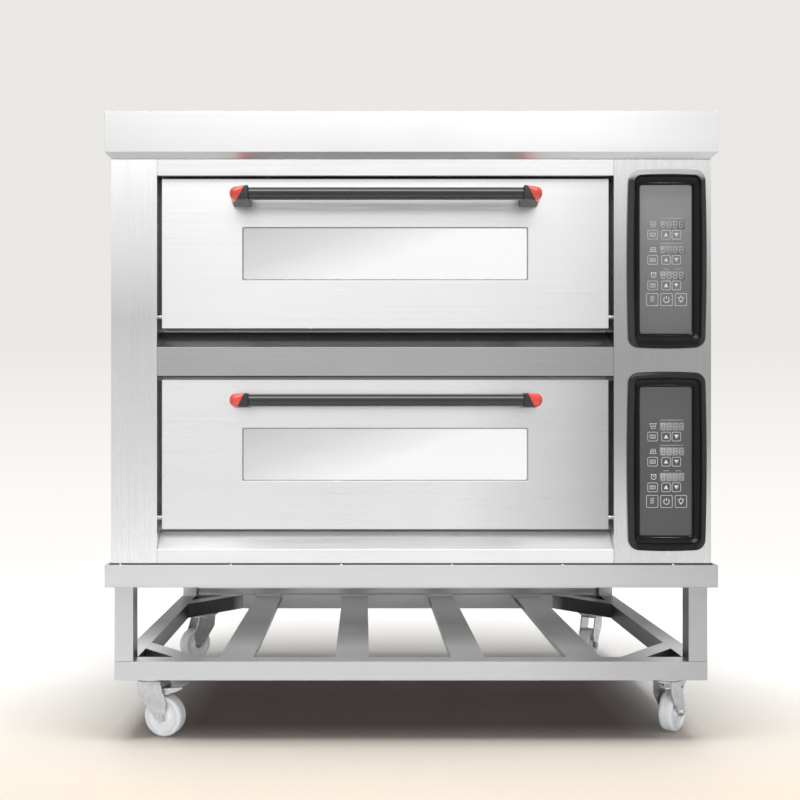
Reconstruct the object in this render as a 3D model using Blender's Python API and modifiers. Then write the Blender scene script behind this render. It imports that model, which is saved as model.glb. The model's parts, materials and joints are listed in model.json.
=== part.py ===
"""Two-deck electric oven on a wheeled stand.

Each deck has a lined and insulated chamber, a hearth plate over a bottom heating element, a top
element, and a bottom-hinged door with a window and a tubular handle. A control column stands to
the right of the doors. The stand is a welded tube frame with a slatted tray shelf, on four
swivel casters, of which the front two have brake pedals.

Units are metres. +Z is up, +X is to the oven's right as seen from the front, and the doors face
-Y. The origin is under the middle of the bounding box, on the floor.
"""

import math

import bmesh
import bpy
from mathutils import Matrix, Vector

# ---- fits -----------------------------------------------------------------------------------
GAP = 0.0003  # between pieces that rest on, or bolt to, one another
PIN_CLEARANCE = 0.0003  # radial, round every pin, tube end and axle
SHEET = 0.0012  # wall of the folded sheet parts

# ---- stand and casters ----------------------------------------------------------------------
WHEEL_RADIUS = 0.0425
WHEEL_WIDTH = 0.030
HUB_LENGTH = 0.034
CASTER_TRAIL = 0.030
CASTER_HEIGHT = 0.129
PLATE_SIDE = 0.086
PLATE_THICKNESS = 0.0035
RACE_RADIUS = 0.028
RACE_HEIGHT = 0.009
KINGPIN_RADIUS = 0.006
KINGPIN_HEAD_RADIUS = 0.010
KINGPIN_HEAD_HEIGHT = 0.004
SEAT_OVERLAP = 0.001  # of shapes that are joined into one solid
AXLE_RADIUS = 0.005
AXLE_END = 0.006  # of the axle beyond the fork
WHEEL_RECESS = 0.006
HUB_RADIUS = 0.013
FORK_SHEET = 0.003
CROWN_LIP = 0.002  # of the fork's crown beyond the race
FORK_LEG_GAP = 0.0006
CASTER_INSET = 0.063  # from the shelf frame's outer faces to a swivel axis
PEDAL_PIVOT = (CASTER_TRAIL + 0.003, WHEEL_RADIUS * 2 + 0.0095)  # from the kingpin, above the floor
PEDAL_PIN_RADIUS = 0.003
PEDAL_PIN_END = 0.003
PEDAL_SIDE_GAP = 0.0012
RAIL = 0.038  # square tube of the shelf frame and the legs
TUBE_WALL = 0.0015
LEG_HEIGHT = 0.153
RING_HEIGHT = 0.045
RING_OVERHANG = 0.016  # of the top ring over the legs
SLAT_WIDTH = 0.070
SLAT_COUNT = 4
SLAT_DEPTH = 0.012
BRACE_LEG = 0.130  # along each rail, of the corner braces
STOP_HEIGHT = 0.016  # of the strip that stops trays at the shelf's back
STOP_DEPTH = 0.020
DRAIN_RADIUS = 0.003

# ---- body -----------------------------------------------------------------------------------
BODY_DEPTH = 0.786
POST_WIDTH = 0.093
COLUMN_WIDTH = 0.197
JAMB_DEPTH = 0.100  # of the returns that face the doors' ends
CORNER_RETURN = 0.030  # of the returns that meet the side panels
RING_MARGIN = 0.0105  # of the stand's top ring beyond the body
SILL_FRONT = 0.030  # upright part of a sill
SILL_RUN = 0.033  # depth and rise of a sill's slope
DOOR_ABOVE_BASE = 0.0697  # from a deck's base to its door's lower edge
HEAD_GAPS = (0.007, 0.003)  # above the lower and the upper door
MID_RAIL_DROP = 0.0283  # of the middle rail's lower edge below the upper deck's base
BODY_TOP_ABOVE_HEAD = 0.033
CAP_HEIGHT = 0.094
CAP_OVERHANG = 0.010
CAP_FRONT = 0.012
CAP_CHAMFER = 0.0115
FLANGE_SETBACK = 0.063  # from the body's front to a chamber's front flange

# ---- doors ----------------------------------------------------------------------------------
DOOR_WIDTH = 0.912
DOOR_HEIGHT = 0.305
DOOR_THICKNESS = 0.040
DOOR_RECESS = 0.015
DOOR_SIDE_GAP = 0.007
HINGE_SETBACK = 0.007  # of the hinge axis behind the door's face
HINGE_RISE = 0.023  # of the hinge axis above the door's lower edge
HINGE_PIN_RADIUS = 0.005
HINGE_PIN_REACH = 0.018  # beyond the liner's side
WINDOW_WIDTH = 0.584
WINDOW_HEIGHT = 0.109
WINDOW_RISE = 0.098
GLASS_MARGIN = 0.012
GLASS_THICKNESS = 0.005
LINER_INSET = 0.0015

# ---- handles --------------------------------------------------------------------------------
HANDLE_LENGTH = 0.620
HANDLE_RADIUS = 0.0127
HANDLE_STANDOFF = 0.055  # of the bar's axis ahead of the door's face
HANDLE_DROP = 0.043  # of the bar's axis below the door's upper edge
HANDLE_WALL = 0.0015
FOOT_WIDTH = 0.038
FOOT_HEIGHT = 0.028
FOOT_CORNER = 0.013
SOCKET_DEPTH = 0.012
CAP_TOP_REACH = 0.031  # of a coloured cap from the foot's outer end, along its top
CAP_TOE_REACH = 0.017
CAP_LEAN = 0.35  # that a cap narrows by, for its depth
CAP_DEPTH = 0.040  # of a cap from the foot's front
CAP_SPARE = 0.010  # of the cap's cutter beyond the foot

# ---- chambers -------------------------------------------------------------------------------
MOUTH_SIDE_LAP = 0.026  # of the door over the chamber's walls
MOUTH_TOP_LAP = 0.031
CHAMBER_RISE = 0.029  # of the chamber's floor above the door's lower edge
CHAMBER_BACK_SPACE = 0.083  # behind the chamber
HEARTH_THICKNESS = 0.003
HEARTH_RISE = 0.028
HEARTH_CLEARANCE = 0.003
ELEMENT_RADIUS = 0.005
ELEMENT_RUNS = 6
ELEMENT_MARGIN = 0.070
ELEMENT_LIFT = 0.011  # of an element's axis from the floor or the roof
INSULATION_SIDE = 0.050
INSULATION_BACK = 0.050

# ---- controls and services ------------------------------------------------------------------
BEZEL_WIDTH = 0.154
BEZEL_HEIGHT = 0.357
BEZEL_CORNER = 0.016
BEZEL_PROUD = 0.010
BEZEL_RISE = 0.139  # of a bezel's centre above its door's lower edge
BEZEL_OFFSET = 0.008  # of a bezel's centre to the right of the column's
KEYPAD_WIDTH = 0.106
KEYPAD_HEIGHT = 0.302
KEYPAD_THICKNESS = 0.003
KEYPAD_SETBACK = 0.015
TUB_WALL = 0.003
VENT_DEPTH = 0.400
VENT_HEIGHT = 0.230
VENT_THICKNESS = 0.004
VENT_SETBACK = 0.190
VENT_RISE = 0.020
LOUVRE_COUNT = 7
LOUVRE_HEIGHT = 0.008
GLAND_RADIUS = 0.016
GLAND_BORE = 0.0075
GLAND_THREAD = 0.0125
GLAND_PROUD = 0.025
GLAND_TAIL = 0.012
GLAND_RISE = 0.070
SWITCHGEAR_THICKNESS = 0.002
SWITCHGEAR_SETBACK = 0.300  # from the body's front
SWITCHGEAR_DEPTH = 0.360
SWITCHGEAR_HEIGHT = 0.620
SWITCHGEAR_SIDE = 0.012  # from the door opening
CONTACTOR = (0.072, 0.048, 0.080)
CONTACTORS_PER_ROW = 4

# ---- derived places -------------------------------------------------------------------------
OPENING_WIDTH = DOOR_WIDTH + 2 * DOOR_SIDE_GAP
BODY_WIDTH = POST_WIDTH + OPENING_WIDTH + COLUMN_WIDTH
BODY_LEFT = -BODY_WIDTH / 2
BODY_RIGHT = BODY_WIDTH / 2
OPENING_LEFT = BODY_LEFT + POST_WIDTH
OPENING_RIGHT = OPENING_LEFT + OPENING_WIDTH
DOOR_CENTRE = (OPENING_LEFT + OPENING_RIGHT) / 2
COLUMN_CENTRE = (OPENING_RIGHT + BODY_RIGHT) / 2
DECK_PITCH = DOOR_ABOVE_BASE + DOOR_HEIGHT + HEAD_GAPS[0] + MID_RAIL_DROP
CHAMBER_WIDTH = DOOR_WIDTH - 2 * MOUTH_SIDE_LAP
CHAMBER_DEPTH = BODY_DEPTH - FLANGE_SETBACK - CHAMBER_BACK_SPACE
CHAMBER_HEIGHT = DOOR_HEIGHT - CHAMBER_RISE - MOUTH_TOP_LAP
HANDLE_RISE = DOOR_HEIGHT - HANDLE_DROP

HANDLE_REACH = HANDLE_STANDOFF + HANDLE_RADIUS + 0.0025
DEEPEST = BODY_DEPTH + GLAND_PROUD
FRONT = -(DEEPEST - (HANDLE_REACH - DOOR_RECESS)) / 2  # body's front face
BACK = FRONT + BODY_DEPTH
DOOR_FACE = FRONT + DOOR_RECESS
FLANGE_FRONT = FRONT + FLANGE_SETBACK
CHAMBER_BACK = FLANGE_FRONT + SHEET + CHAMBER_DEPTH

RING_LEFT = BODY_LEFT - RING_MARGIN
RING_FRONT = FRONT - RING_MARGIN
RING_BACK = BACK + RING_MARGIN
STAND_LEFT = RING_LEFT + RING_OVERHANG
STAND_FRONT = RING_FRONT + RING_OVERHANG
STAND_BACK = RING_BACK - RING_OVERHANG
SHELF_TOP = CASTER_HEIGHT + RAIL
LEG_TOP = SHELF_TOP + GAP + LEG_HEIGHT
RING_TOP = LEG_TOP + RING_HEIGHT
BASE = RING_TOP + GAP
DECKS = (("lower", BASE), ("upper", BASE + DECK_PITCH))
DOOR_TOPS = tuple(base + DOOR_ABOVE_BASE + DOOR_HEIGHT for _, base in DECKS)
BODY_TOP = DOOR_TOPS[1] + HEAD_GAPS[1] + BODY_TOP_ABOVE_HEAD
SHELL_BASE = BASE + SHEET + GAP

CORNERS = (
    ("front_left", -1, -1, -17.0),
    ("front_right", 1, -1, 50.0),
    ("rear_left", -1, 1, 225.0),
    ("rear_right", 1, 1, 236.0),
)

FINISHES = {
    "stainless": ((0.62, 0.62, 0.63), 0.32, 1.0),
    "stand_steel": ((0.60, 0.60, 0.60), 0.42, 0.9),
    "zinc": ((0.62, 0.64, 0.66), 0.35, 1.0),
    "nylon": ((0.86, 0.86, 0.84), 0.45, 0.0),
    "black_tube": ((0.03, 0.03, 0.03), 0.3, 0.0),
    "black_plastic": ((0.02, 0.02, 0.022), 0.25, 0.0),
    "red_plastic": ((0.80, 0.05, 0.03), 0.35, 0.0),
    "keypad": ((0.09, 0.09, 0.095), 0.5, 0.0),
    "glass": ((0.75, 0.77, 0.78), 0.05, 0.0),
    "liner": ((0.45, 0.44, 0.42), 0.45, 1.0),
    "hearth": ((0.20, 0.19, 0.18), 0.6, 0.7),
    "element": ((0.12, 0.11, 0.10), 0.5, 0.8),
    "mineral_wool": ((0.72, 0.66, 0.45), 0.95, 0.0),
    "switchgear": ((0.55, 0.56, 0.58), 0.6, 0.1),
}


# ---- scene and modelling helpers ------------------------------------------------------------
def clear_scene():
    for scene_object in list(bpy.data.objects):
        bpy.data.objects.remove(scene_object, do_unlink=True)


def collection_named(name):
    collection = bpy.data.collections.new(name)
    bpy.context.scene.collection.children.link(collection)
    return collection


def make_material(name):
    color, roughness, metallic = FINISHES[name]
    material = bpy.data.materials.new(name)
    material.use_nodes = True
    shader = material.node_tree.nodes["Principled BSDF"]
    shader.inputs["Base Color"].default_value = (*color, 1.0)
    shader.inputs["Roughness"].default_value = roughness
    shader.inputs["Metallic"].default_value = metallic
    return material


clear_scene()
PARTS = collection_named("deck_oven")
CUTTERS = collection_named("cutters")
MATERIALS = {name: make_material(name) for name in FINISHES}


def place(name, mesh, location=(0, 0, 0), parent=None):
    """An object of the mesh, not yet in a collection, at a place in its parent's frame."""
    placed = bpy.data.objects.new(name, mesh)
    placed.location = location
    placed.parent = parent
    return placed


def as_part(shape, material):
    PARTS.objects.link(shape)
    shape.data.materials.append(MATERIALS[material])
    return shape


def mesh_from(name, bm):
    bmesh.ops.recalc_face_normals(bm, faces=bm.faces)
    mesh = bpy.data.meshes.new(name)
    bm.to_mesh(mesh)
    bm.free()
    return mesh


def box(name, low, high, parent=None):
    """A box between two corners, with its origin at its middle."""
    low, high = Vector(low), Vector(high)
    bm = bmesh.new()
    bmesh.ops.create_cube(bm, size=1.0)
    bmesh.ops.scale(bm, vec=high - low, verts=bm.verts)
    return place(name, mesh_from(name, bm), (low + high) / 2, parent)


def rod(name, start, end, radius, sides=16, parent=None):
    """A round bar between two points, with its origin at its middle."""
    start, end = Vector(start), Vector(end)
    bm = bmesh.new()
    bmesh.ops.create_cone(
        bm, cap_ends=True, segments=sides, radius1=radius, radius2=radius, depth=(end - start).length
    )
    turn = Vector((0, 0, 1)).rotation_difference(end - start).to_matrix().to_4x4()
    bmesh.ops.transform(bm, matrix=turn, verts=bm.verts)
    return place(name, mesh_from(name, bm), (start + end) / 2, parent)


def prism(name, outline, thickness, turn, location, parent=None):
    """A flat outline with a thickness along its own +Z, turned and then placed."""
    bm = bmesh.new()
    face = bm.faces.new([bm.verts.new((x, y, 0)) for x, y in outline])
    raised = bmesh.ops.extrude_face_region(bm, geom=[face])["geom"]
    moved = [item for item in raised if isinstance(item, bmesh.types.BMVert)]
    bmesh.ops.translate(bm, vec=(0, 0, thickness), verts=moved)
    bmesh.ops.transform(bm, matrix=turn.to_4x4(), verts=bm.verts)
    return place(name, mesh_from(name, bm), location, parent)


def folded_sheet(name, fold_points, run, wall, parent=None):
    """A sheet folded through the points and run straight along a vector.

    The wall thickness grows to the left of the line's direction, seen against the run.
    """
    bm = bmesh.new()
    line = [bm.verts.new(point) for point in fold_points]
    edges = [bm.edges.new(pair) for pair in zip(line, line[1:])]
    swept = bmesh.ops.extrude_edge_only(bm, edges=edges)["geom"]
    moved = [item for item in swept if isinstance(item, bmesh.types.BMVert)]
    bmesh.ops.translate(bm, vec=run, verts=moved)
    mesh = bpy.data.meshes.new(name)
    bm.to_mesh(mesh)
    bm.free()
    sheet = place(name, mesh, (0, 0, 0), parent)
    solidify = sheet.modifiers.new("sheet", "SOLIDIFY")
    solidify.thickness = wall
    solidify.offset = -1.0
    solidify.use_even_offset = True
    return sheet


def turned(name, profile, steps, axis_turn, location, parent=None):
    """A profile of (radius, height) points, top to bottom, spun round its axis."""
    mesh = bpy.data.meshes.new(name)
    points = [(radius, 0, height) for radius, height in profile]
    mesh.from_pydata(points, [(i, i + 1) for i in range(len(points) - 1)], [])
    spun = place(name, mesh, location, parent)
    spun.rotation_euler = axis_turn
    screw = spun.modifiers.new("turn", "SCREW")
    screw.steps = steps
    screw.render_steps = steps
    screw.use_merge_vertices = True
    screw.merge_threshold = 0.00005
    return spun


def combine(shape, others, operation):
    """Adds a live Boolean to the shape for each of the others, which become helpers."""
    for other in others:
        if other.name not in CUTTERS.objects:
            CUTTERS.objects.link(other)
        other.hide_render = True
        other.display_type = "WIRE"
        boolean = shape.modifiers.new(other.name, "BOOLEAN")
        boolean.operation = operation
        boolean.object = other
    return shape


def join(shape, others):
    return combine(shape, others, "UNION")


def cut(shape, others):
    return combine(shape, others, "DIFFERENCE")


def round_edges(shape, width, segments, along):
    """Bevels the edges of a box that run along one axis."""
    mesh = shape.data
    bm = bmesh.new()
    bm.from_mesh(mesh)
    chosen = [e for e in bm.edges if abs((e.verts[0].co - e.verts[1].co).normalized()[along]) > 0.99]
    bmesh.ops.bevel(bm, geom=chosen, offset=width, segments=segments, profile=0.5, affect="EDGES")
    bm.to_mesh(mesh)
    bm.free()
    return shape


def empty(name, location, parent=None):
    holder = place(name, None, location, parent)
    PARTS.objects.link(holder)
    return holder


# ---- stand ----------------------------------------------------------------------------------
def tube_boxes(name, boxes, inset):
    """The boxes of a tube frame, each shrunk on all sides by the inset."""
    shapes = []
    for i, (low, high) in enumerate(boxes):
        shrunk_low = [value + inset for value in low]
        shrunk_high = [value - inset for value in high]
        shapes.append(box(f"{name}_{i}", shrunk_low, shrunk_high))
    return shapes


def ring_boxes(left, front, back, width, low, high):
    """Four overlapping bars round a rectangle that is centred on X = 0."""
    right = -left
    return [
        ((left, front, low), (right, front + width, high)),
        ((left, back - width, low), (right, back, high)),
        ((left, front, low), (left + width, back, high)),
        ((right - width, front, low), (right, back, high)),
    ]


def leg_corners():
    """Left and front corners of the four legs."""
    for x in (STAND_LEFT, -STAND_LEFT - RAIL):
        for y in (STAND_FRONT, STAND_BACK - RAIL):
            yield x, y


def make_stand_frame():
    boxes = ring_boxes(RING_LEFT, RING_FRONT, RING_BACK, RAIL + RING_OVERHANG, LEG_TOP, RING_TOP)
    outer = list(boxes)
    for x, y in leg_corners():
        outer.append(((x, y, SHELF_TOP + GAP), (x + RAIL, y + RAIL, LEG_TOP + RAIL / 2)))
    frame, *bars = tube_boxes("stand_frame_bar", outer, 0)
    frame.name = "stand_frame"
    join(frame, bars)
    hollows = tube_boxes("stand_frame_hollow", boxes, TUBE_WALL)
    for i, (x, y) in enumerate(leg_corners()):
        low = (x + TUBE_WALL, y + TUBE_WALL, SHELF_TOP - RAIL / 2)
        high = (x + RAIL - TUBE_WALL, y + RAIL - TUBE_WALL, LEG_TOP + RING_HEIGHT / 2)
        hollows.append(box(f"stand_leg_hollow_{i}", low, high))
    cut(frame, hollows)
    as_part(frame, "stand_steel")


def slat_centres():
    """Slats and the gaps between and beside them share out the shelf evenly."""
    inner = -2 * (STAND_LEFT + RAIL)
    space = (inner - SLAT_COUNT * SLAT_WIDTH) / (SLAT_COUNT + 1)
    return [-inner / 2 + space * (i + 1) + SLAT_WIDTH * (i + 0.5) for i in range(SLAT_COUNT)]


def make_shelf_frame():
    inner_front = STAND_FRONT + RAIL
    inner_back = STAND_BACK - RAIL
    weld = TUBE_WALL / 2
    boxes = ring_boxes(STAND_LEFT, STAND_FRONT, STAND_BACK, RAIL, CASTER_HEIGHT, SHELF_TOP)
    frame, *bars = tube_boxes("shelf_rail", boxes, 0)
    frame.name = "shelf_frame"
    for i, x in enumerate(slat_centres()):
        low = (x - SLAT_WIDTH / 2, inner_front - weld, SHELF_TOP - SLAT_DEPTH)
        high = (x + SLAT_WIDTH / 2, inner_back + weld, SHELF_TOP - GAP)
        bars.append(box(f"shelf_slat_{i}", low, high))
    across = RAIL * math.sqrt(2)
    inner_left = STAND_LEFT + RAIL
    for name, side, end, _ in CORNERS:
        x, y = side * -inner_left, inner_front if end < 0 else inner_back
        far, near = BRACE_LEG, BRACE_LEG - across
        outline = [
            (x, y - end * far),
            (x + side * weld, y - end * far),
            (x + side * weld, y - end * near),
            (x - side * near, y + end * weld),
            (x - side * far, y + end * weld),
            (x - side * far, y),
        ]
        low = (0, 0, CASTER_HEIGHT + GAP)
        bars.append(prism(f"shelf_brace_{name}", outline, RAIL - 2 * GAP, Matrix.Identity(3), low))
    stop_low = (STAND_LEFT + RAIL + GAP, STAND_BACK - STOP_DEPTH, SHELF_TOP - weld)
    stop_high = (-STAND_LEFT - RAIL - GAP, STAND_BACK - GAP, SHELF_TOP + STOP_HEIGHT)
    bars.append(box("shelf_stop", stop_low, stop_high))
    join(frame, bars)
    hollows = tube_boxes("shelf_hollow", boxes, TUBE_WALL)
    drain_y = STAND_FRONT + RAIL / 2
    drain_low = (0, drain_y, CASTER_HEIGHT - RAIL / 2)
    drain_high = (0, drain_y, CASTER_HEIGHT + RAIL / 2)
    drain = rod("shelf_drain", drain_low, drain_high, DRAIN_RADIUS, 8)
    cut(frame, hollows + [drain])
    as_part(frame, "stand_steel")


# ---- casters --------------------------------------------------------------------------------
def make_caster(name, side, end, heading, braked):
    """A swivel caster whose wheel trails its kingpin in the heading, in degrees from +X."""
    x = side * -(STAND_LEFT + CASTER_INSET)
    y = STAND_FRONT + CASTER_INSET if end < 0 else STAND_BACK - CASTER_INSET
    swivel = empty(f"{name}_swivel_axis", (x, y, 0))
    swivel.rotation_euler = (0, 0, math.radians(heading))

    plate_top = CASTER_HEIGHT - GAP
    plate_bottom = plate_top - PLATE_THICKNESS
    race_bottom = plate_bottom - RACE_HEIGHT
    crown_top = race_bottom - GAP
    crown_bottom = crown_top - FORK_SHEET
    head_top = crown_bottom - GAP
    head_bottom = head_top - KINGPIN_HEAD_HEIGHT
    half = PLATE_SIDE / 2
    plate = box(f"caster_plate_{name}", (-half, -half, plate_bottom), (half, half, plate_top))
    round_edges(plate, 0.006, 2, 2)
    plate.location += Vector((x, y, 0))
    race = rod(f"{name}_race", (x, y, race_bottom), (x, y, plate_bottom + SEAT_OVERLAP), RACE_RADIUS, 24)
    pin_low, pin_high = (x, y, head_top - SEAT_OVERLAP), (x, y, race_bottom + SEAT_OVERLAP)
    pin = rod(f"{name}_kingpin", pin_low, pin_high, KINGPIN_RADIUS, 16)
    head = rod(f"{name}_kingpin_head", (x, y, head_bottom), (x, y, head_top), KINGPIN_HEAD_RADIUS, 16)
    as_part(join(plate, [race, pin, head]), "zinc")

    leg_inner = HUB_LENGTH / 2 + FORK_LEG_GAP
    leg_outer = leg_inner + FORK_SHEET
    crown_radius = RACE_RADIUS + CROWN_LIP
    crown = rod(f"caster_fork_{name}", (0, 0, crown_bottom), (0, 0, crown_top), crown_radius, 24, swivel)
    legs = []
    outline = [
        (-0.024, crown_top),
        (CASTER_TRAIL * 0.95, crown_top),
        (CASTER_TRAIL + 0.013, WHEEL_RADIUS + 0.030),
        (CASTER_TRAIL + 0.010, WHEEL_RADIUS - 0.006),
        (CASTER_TRAIL, WHEEL_RADIUS - 0.011),
        (CASTER_TRAIL - 0.010, WHEEL_RADIUS - 0.006),
        (-0.020, crown_top - 0.030),
    ]
    upright = Matrix.Rotation(math.radians(90), 3, "X")
    for i, y_out in enumerate((-leg_inner, leg_outer)):
        legs.append(prism(f"{name}_leg_{i}", outline, FORK_SHEET, upright, (0, y_out, 0), swivel))
    axle_start = (CASTER_TRAIL, -leg_outer - AXLE_END, WHEEL_RADIUS)
    axle_end = (CASTER_TRAIL, leg_outer + AXLE_END, WHEEL_RADIUS)
    legs.append(rod(f"{name}_axle", axle_start, axle_end, AXLE_RADIUS, 16, swivel))
    hole_radius = KINGPIN_RADIUS + PIN_CLEARANCE
    hole = rod(f"{name}_kingpin_hole", (0, 0, head_bottom), (0, 0, plate_bottom), hole_radius, 16, swivel)
    if braked:
        legs.append(brake_pin(name, leg_outer, swivel))
    join(crown, legs)
    cut(crown, [hole])
    as_part(crown, "zinc")

    hub = HUB_LENGTH / 2
    tread = WHEEL_WIDTH / 2
    bore = AXLE_RADIUS + PIN_CLEARANCE
    rim = WHEEL_RADIUS - 0.010
    profile = [
        (bore, hub),
        (HUB_RADIUS, hub),
        (HUB_RADIUS + 0.002, tread - WHEEL_RECESS),
        (rim, tread - WHEEL_RECESS),
        (rim + 0.002, tread),
        (WHEEL_RADIUS - 0.004, tread),
        (WHEEL_RADIUS, tread - 0.005),
    ]
    profile += [(radius, -height) for radius, height in reversed(profile)]
    profile.append(profile[0])
    wheel = turned(
        f"caster_wheel_{name}",
        profile,
        32,
        (math.radians(90), 0, 0),
        (CASTER_TRAIL, 0, WHEEL_RADIUS),
        swivel,
    )
    as_part(wheel, "nylon")
    if braked:
        make_pedal(name, leg_inner, swivel)


def brake_pin(name, leg_outer, swivel):
    x, z = PEDAL_PIVOT
    end = leg_outer + PEDAL_PIN_END
    return rod(f"{name}_brake_pin", (x, -end, z), (x, end, z), PEDAL_PIN_RADIUS, 12, swivel)


def make_pedal(name, leg_inner, swivel):
    """A pressed pedal on a pin between the fork's legs; its nose sticks out behind the wheel."""
    x, z = PEDAL_PIVOT
    pivot = empty(f"{name}_brake_axis", (x, 0, z), swivel)
    half = leg_inner - PEDAL_SIDE_GAP
    outline = [
        (-0.008, -0.0055),
        (0.008, -0.0055),
        (0.034, 0.004),
        (0.046, 0.011),
        (0.044, 0.013),
        (-0.008, 0.0055),
    ]
    upright = Matrix.Rotation(math.radians(90), 3, "X")
    pedal = prism(f"brake_pedal_{name}", outline, 2 * half, upright, (0, half, 0), pivot)
    bore_radius = PEDAL_PIN_RADIUS + PIN_CLEARANCE
    bore = rod(f"{name}_brake_bore", (0, -HUB_LENGTH, 0), (0, HUB_LENGTH, 0), bore_radius, 12, pivot)
    as_part(cut(pedal, [bore]), "zinc")


# ---- body shell -----------------------------------------------------------------------------
def make_base_and_back():
    base = box("base_pan", (BODY_LEFT, FRONT, BASE), (BODY_RIGHT, BACK, BASE + SHEET))
    as_part(base, "stainless")
    back = box("back_panel", (BODY_LEFT, BACK - SHEET, SHELL_BASE), (BODY_RIGHT, BACK, BODY_TOP))
    gland_hole = rod(
        "gland_hole",
        (COLUMN_CENTRE, BACK - 0.01, BASE + GLAND_RISE),
        (COLUMN_CENTRE, BACK + 0.01, BASE + GLAND_RISE),
        GLAND_THREAD + PIN_CLEARANCE,
        24,
    )
    as_part(cut(back, [gland_hole]), "stainless")


def hinge_holes(name, x):
    """Holes for the doors' hinge pins through a jamb at X."""
    holes = []
    for deck, base in DECKS:
        y, z = hinge_axis(base)
        radius = HINGE_PIN_RADIUS + PIN_CLEARANCE
        holes.append(rod(f"{name}_{deck}_hole", (x - 0.01, y, z), (x + 0.01, y, z), radius, 16))
    return holes


def hinge_axis(base):
    return DOOR_FACE + HINGE_SETBACK, base + DOOR_ABOVE_BASE + HINGE_RISE


def make_posts():
    """The two folded front uprights, a blank one on the left and the control column."""
    rise = (0, 0, BODY_TOP - SHELL_BASE)
    left_line = [
        (OPENING_LEFT, FRONT + JAMB_DEPTH, SHELL_BASE),
        (OPENING_LEFT, FRONT, SHELL_BASE),
        (BODY_LEFT, FRONT, SHELL_BASE),
        (BODY_LEFT, FRONT + CORNER_RETURN, SHELL_BASE),
    ]
    post = folded_sheet("left_post", left_line, rise, SHEET)
    as_part(cut(post, hinge_holes("post", OPENING_LEFT)), "stainless")

    right_line = [
        (BODY_RIGHT, FRONT + CORNER_RETURN, SHELL_BASE),
        (BODY_RIGHT, FRONT, SHELL_BASE),
        (OPENING_RIGHT, FRONT, SHELL_BASE),
        (OPENING_RIGHT, FRONT + JAMB_DEPTH, SHELL_BASE),
    ]
    column = folded_sheet("control_column", right_line, rise, SHEET)
    half_x = KEYPAD_WIDTH / 2 + TUB_WALL + GAP
    half_z = KEYPAD_HEIGHT / 2 + TUB_WALL + GAP
    cutouts = []
    for deck, base in DECKS:
        x, z = bezel_centre(base)
        low = (x - half_x, FRONT - 0.01, z - half_z)
        high = (x + half_x, FRONT + 0.01, z + half_z)
        cutouts.append(box(f"{deck}_bezel_cutout", low, high))
    as_part(cut(column, cutouts + hinge_holes("column", OPENING_RIGHT)), "stainless")


def vent_box(base, depth_low, depth_high, margin):
    """Corners of a vent panel's outline on the right side, in from its edge by a margin."""
    y = FRONT + VENT_SETBACK
    z = base + DOOR_ABOVE_BASE + VENT_RISE
    low = (BODY_RIGHT + depth_low, y + margin, z + margin)
    high = (BODY_RIGHT + depth_high, y + VENT_DEPTH - margin, z + VENT_HEIGHT - margin)
    return low, high


def make_side_panels():
    front = FRONT + CORNER_RETURN + GAP
    back = BACK - SHEET - GAP
    left = box("left_side_panel", (BODY_LEFT, front, SHELL_BASE), (BODY_LEFT + SHEET, back, BODY_TOP))
    as_part(left, "stainless")
    right = box("right_side_panel", (BODY_RIGHT - SHEET, front, SHELL_BASE), (BODY_RIGHT, back, BODY_TOP))
    windows = [box(f"{deck}_vent_window", *vent_box(base, -0.01, 0.01, 0.015)) for deck, base in DECKS]
    as_part(cut(right, windows), "stainless")
    for deck, base in DECKS:
        vent = box(f"{deck}_vent_panel", *vent_box(base, GAP, GAP + VENT_THICKNESS, 0))
        slots = []
        low, high = vent_box(base, -0.01, 0.02, 0.025)
        pitch = (high[2] - low[2]) / LOUVRE_COUNT
        for i in range(LOUVRE_COUNT):
            bottom = low[2] + pitch * (i + 0.5) - LOUVRE_HEIGHT / 2
            slot_low = (low[0], low[1], bottom)
            slot_high = (high[0], high[1], bottom + LOUVRE_HEIGHT)
            slots.append(box(f"{deck}_louvre_{i}", slot_low, slot_high))
        as_part(cut(vent, slots), "stainless")


def sill_line(base, front_bottom, x):
    """A sill in section: up its front, back and up its slope, then level under the door."""
    shoulder = base + SILL_FRONT
    rear = FLANGE_FRONT - GAP
    return [
        (x, FRONT, front_bottom),
        (x, FRONT, shoulder),
        (x, FRONT + SILL_RUN, shoulder + SILL_RUN),
        (x, rear, shoulder + SILL_RUN),
    ]


def make_fascias():
    """The rails below, between and above the doors, which run between the two uprights."""
    left = OPENING_LEFT + GAP
    run = (OPENING_WIDTH - 2 * GAP, 0, 0)
    rear = FLANGE_FRONT - GAP
    base_line = sill_line(BASE, SHELL_BASE, left)
    as_part(folded_sheet("base_fascia", base_line, run, SHEET), "stainless")
    head = DOOR_TOPS[0] + HEAD_GAPS[0]
    mid_line = [(left, rear, head)] + sill_line(BASE + DECK_PITCH, head, left)
    as_part(folded_sheet("mid_fascia", mid_line, run, SHEET), "stainless")
    head = DOOR_TOPS[1] + HEAD_GAPS[1]
    top_line = [(left, rear, head), (left, FRONT, head), (left, FRONT, BODY_TOP), (left, rear, BODY_TOP)]
    as_part(folded_sheet("top_fascia", top_line, run, SHEET), "stainless")


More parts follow.
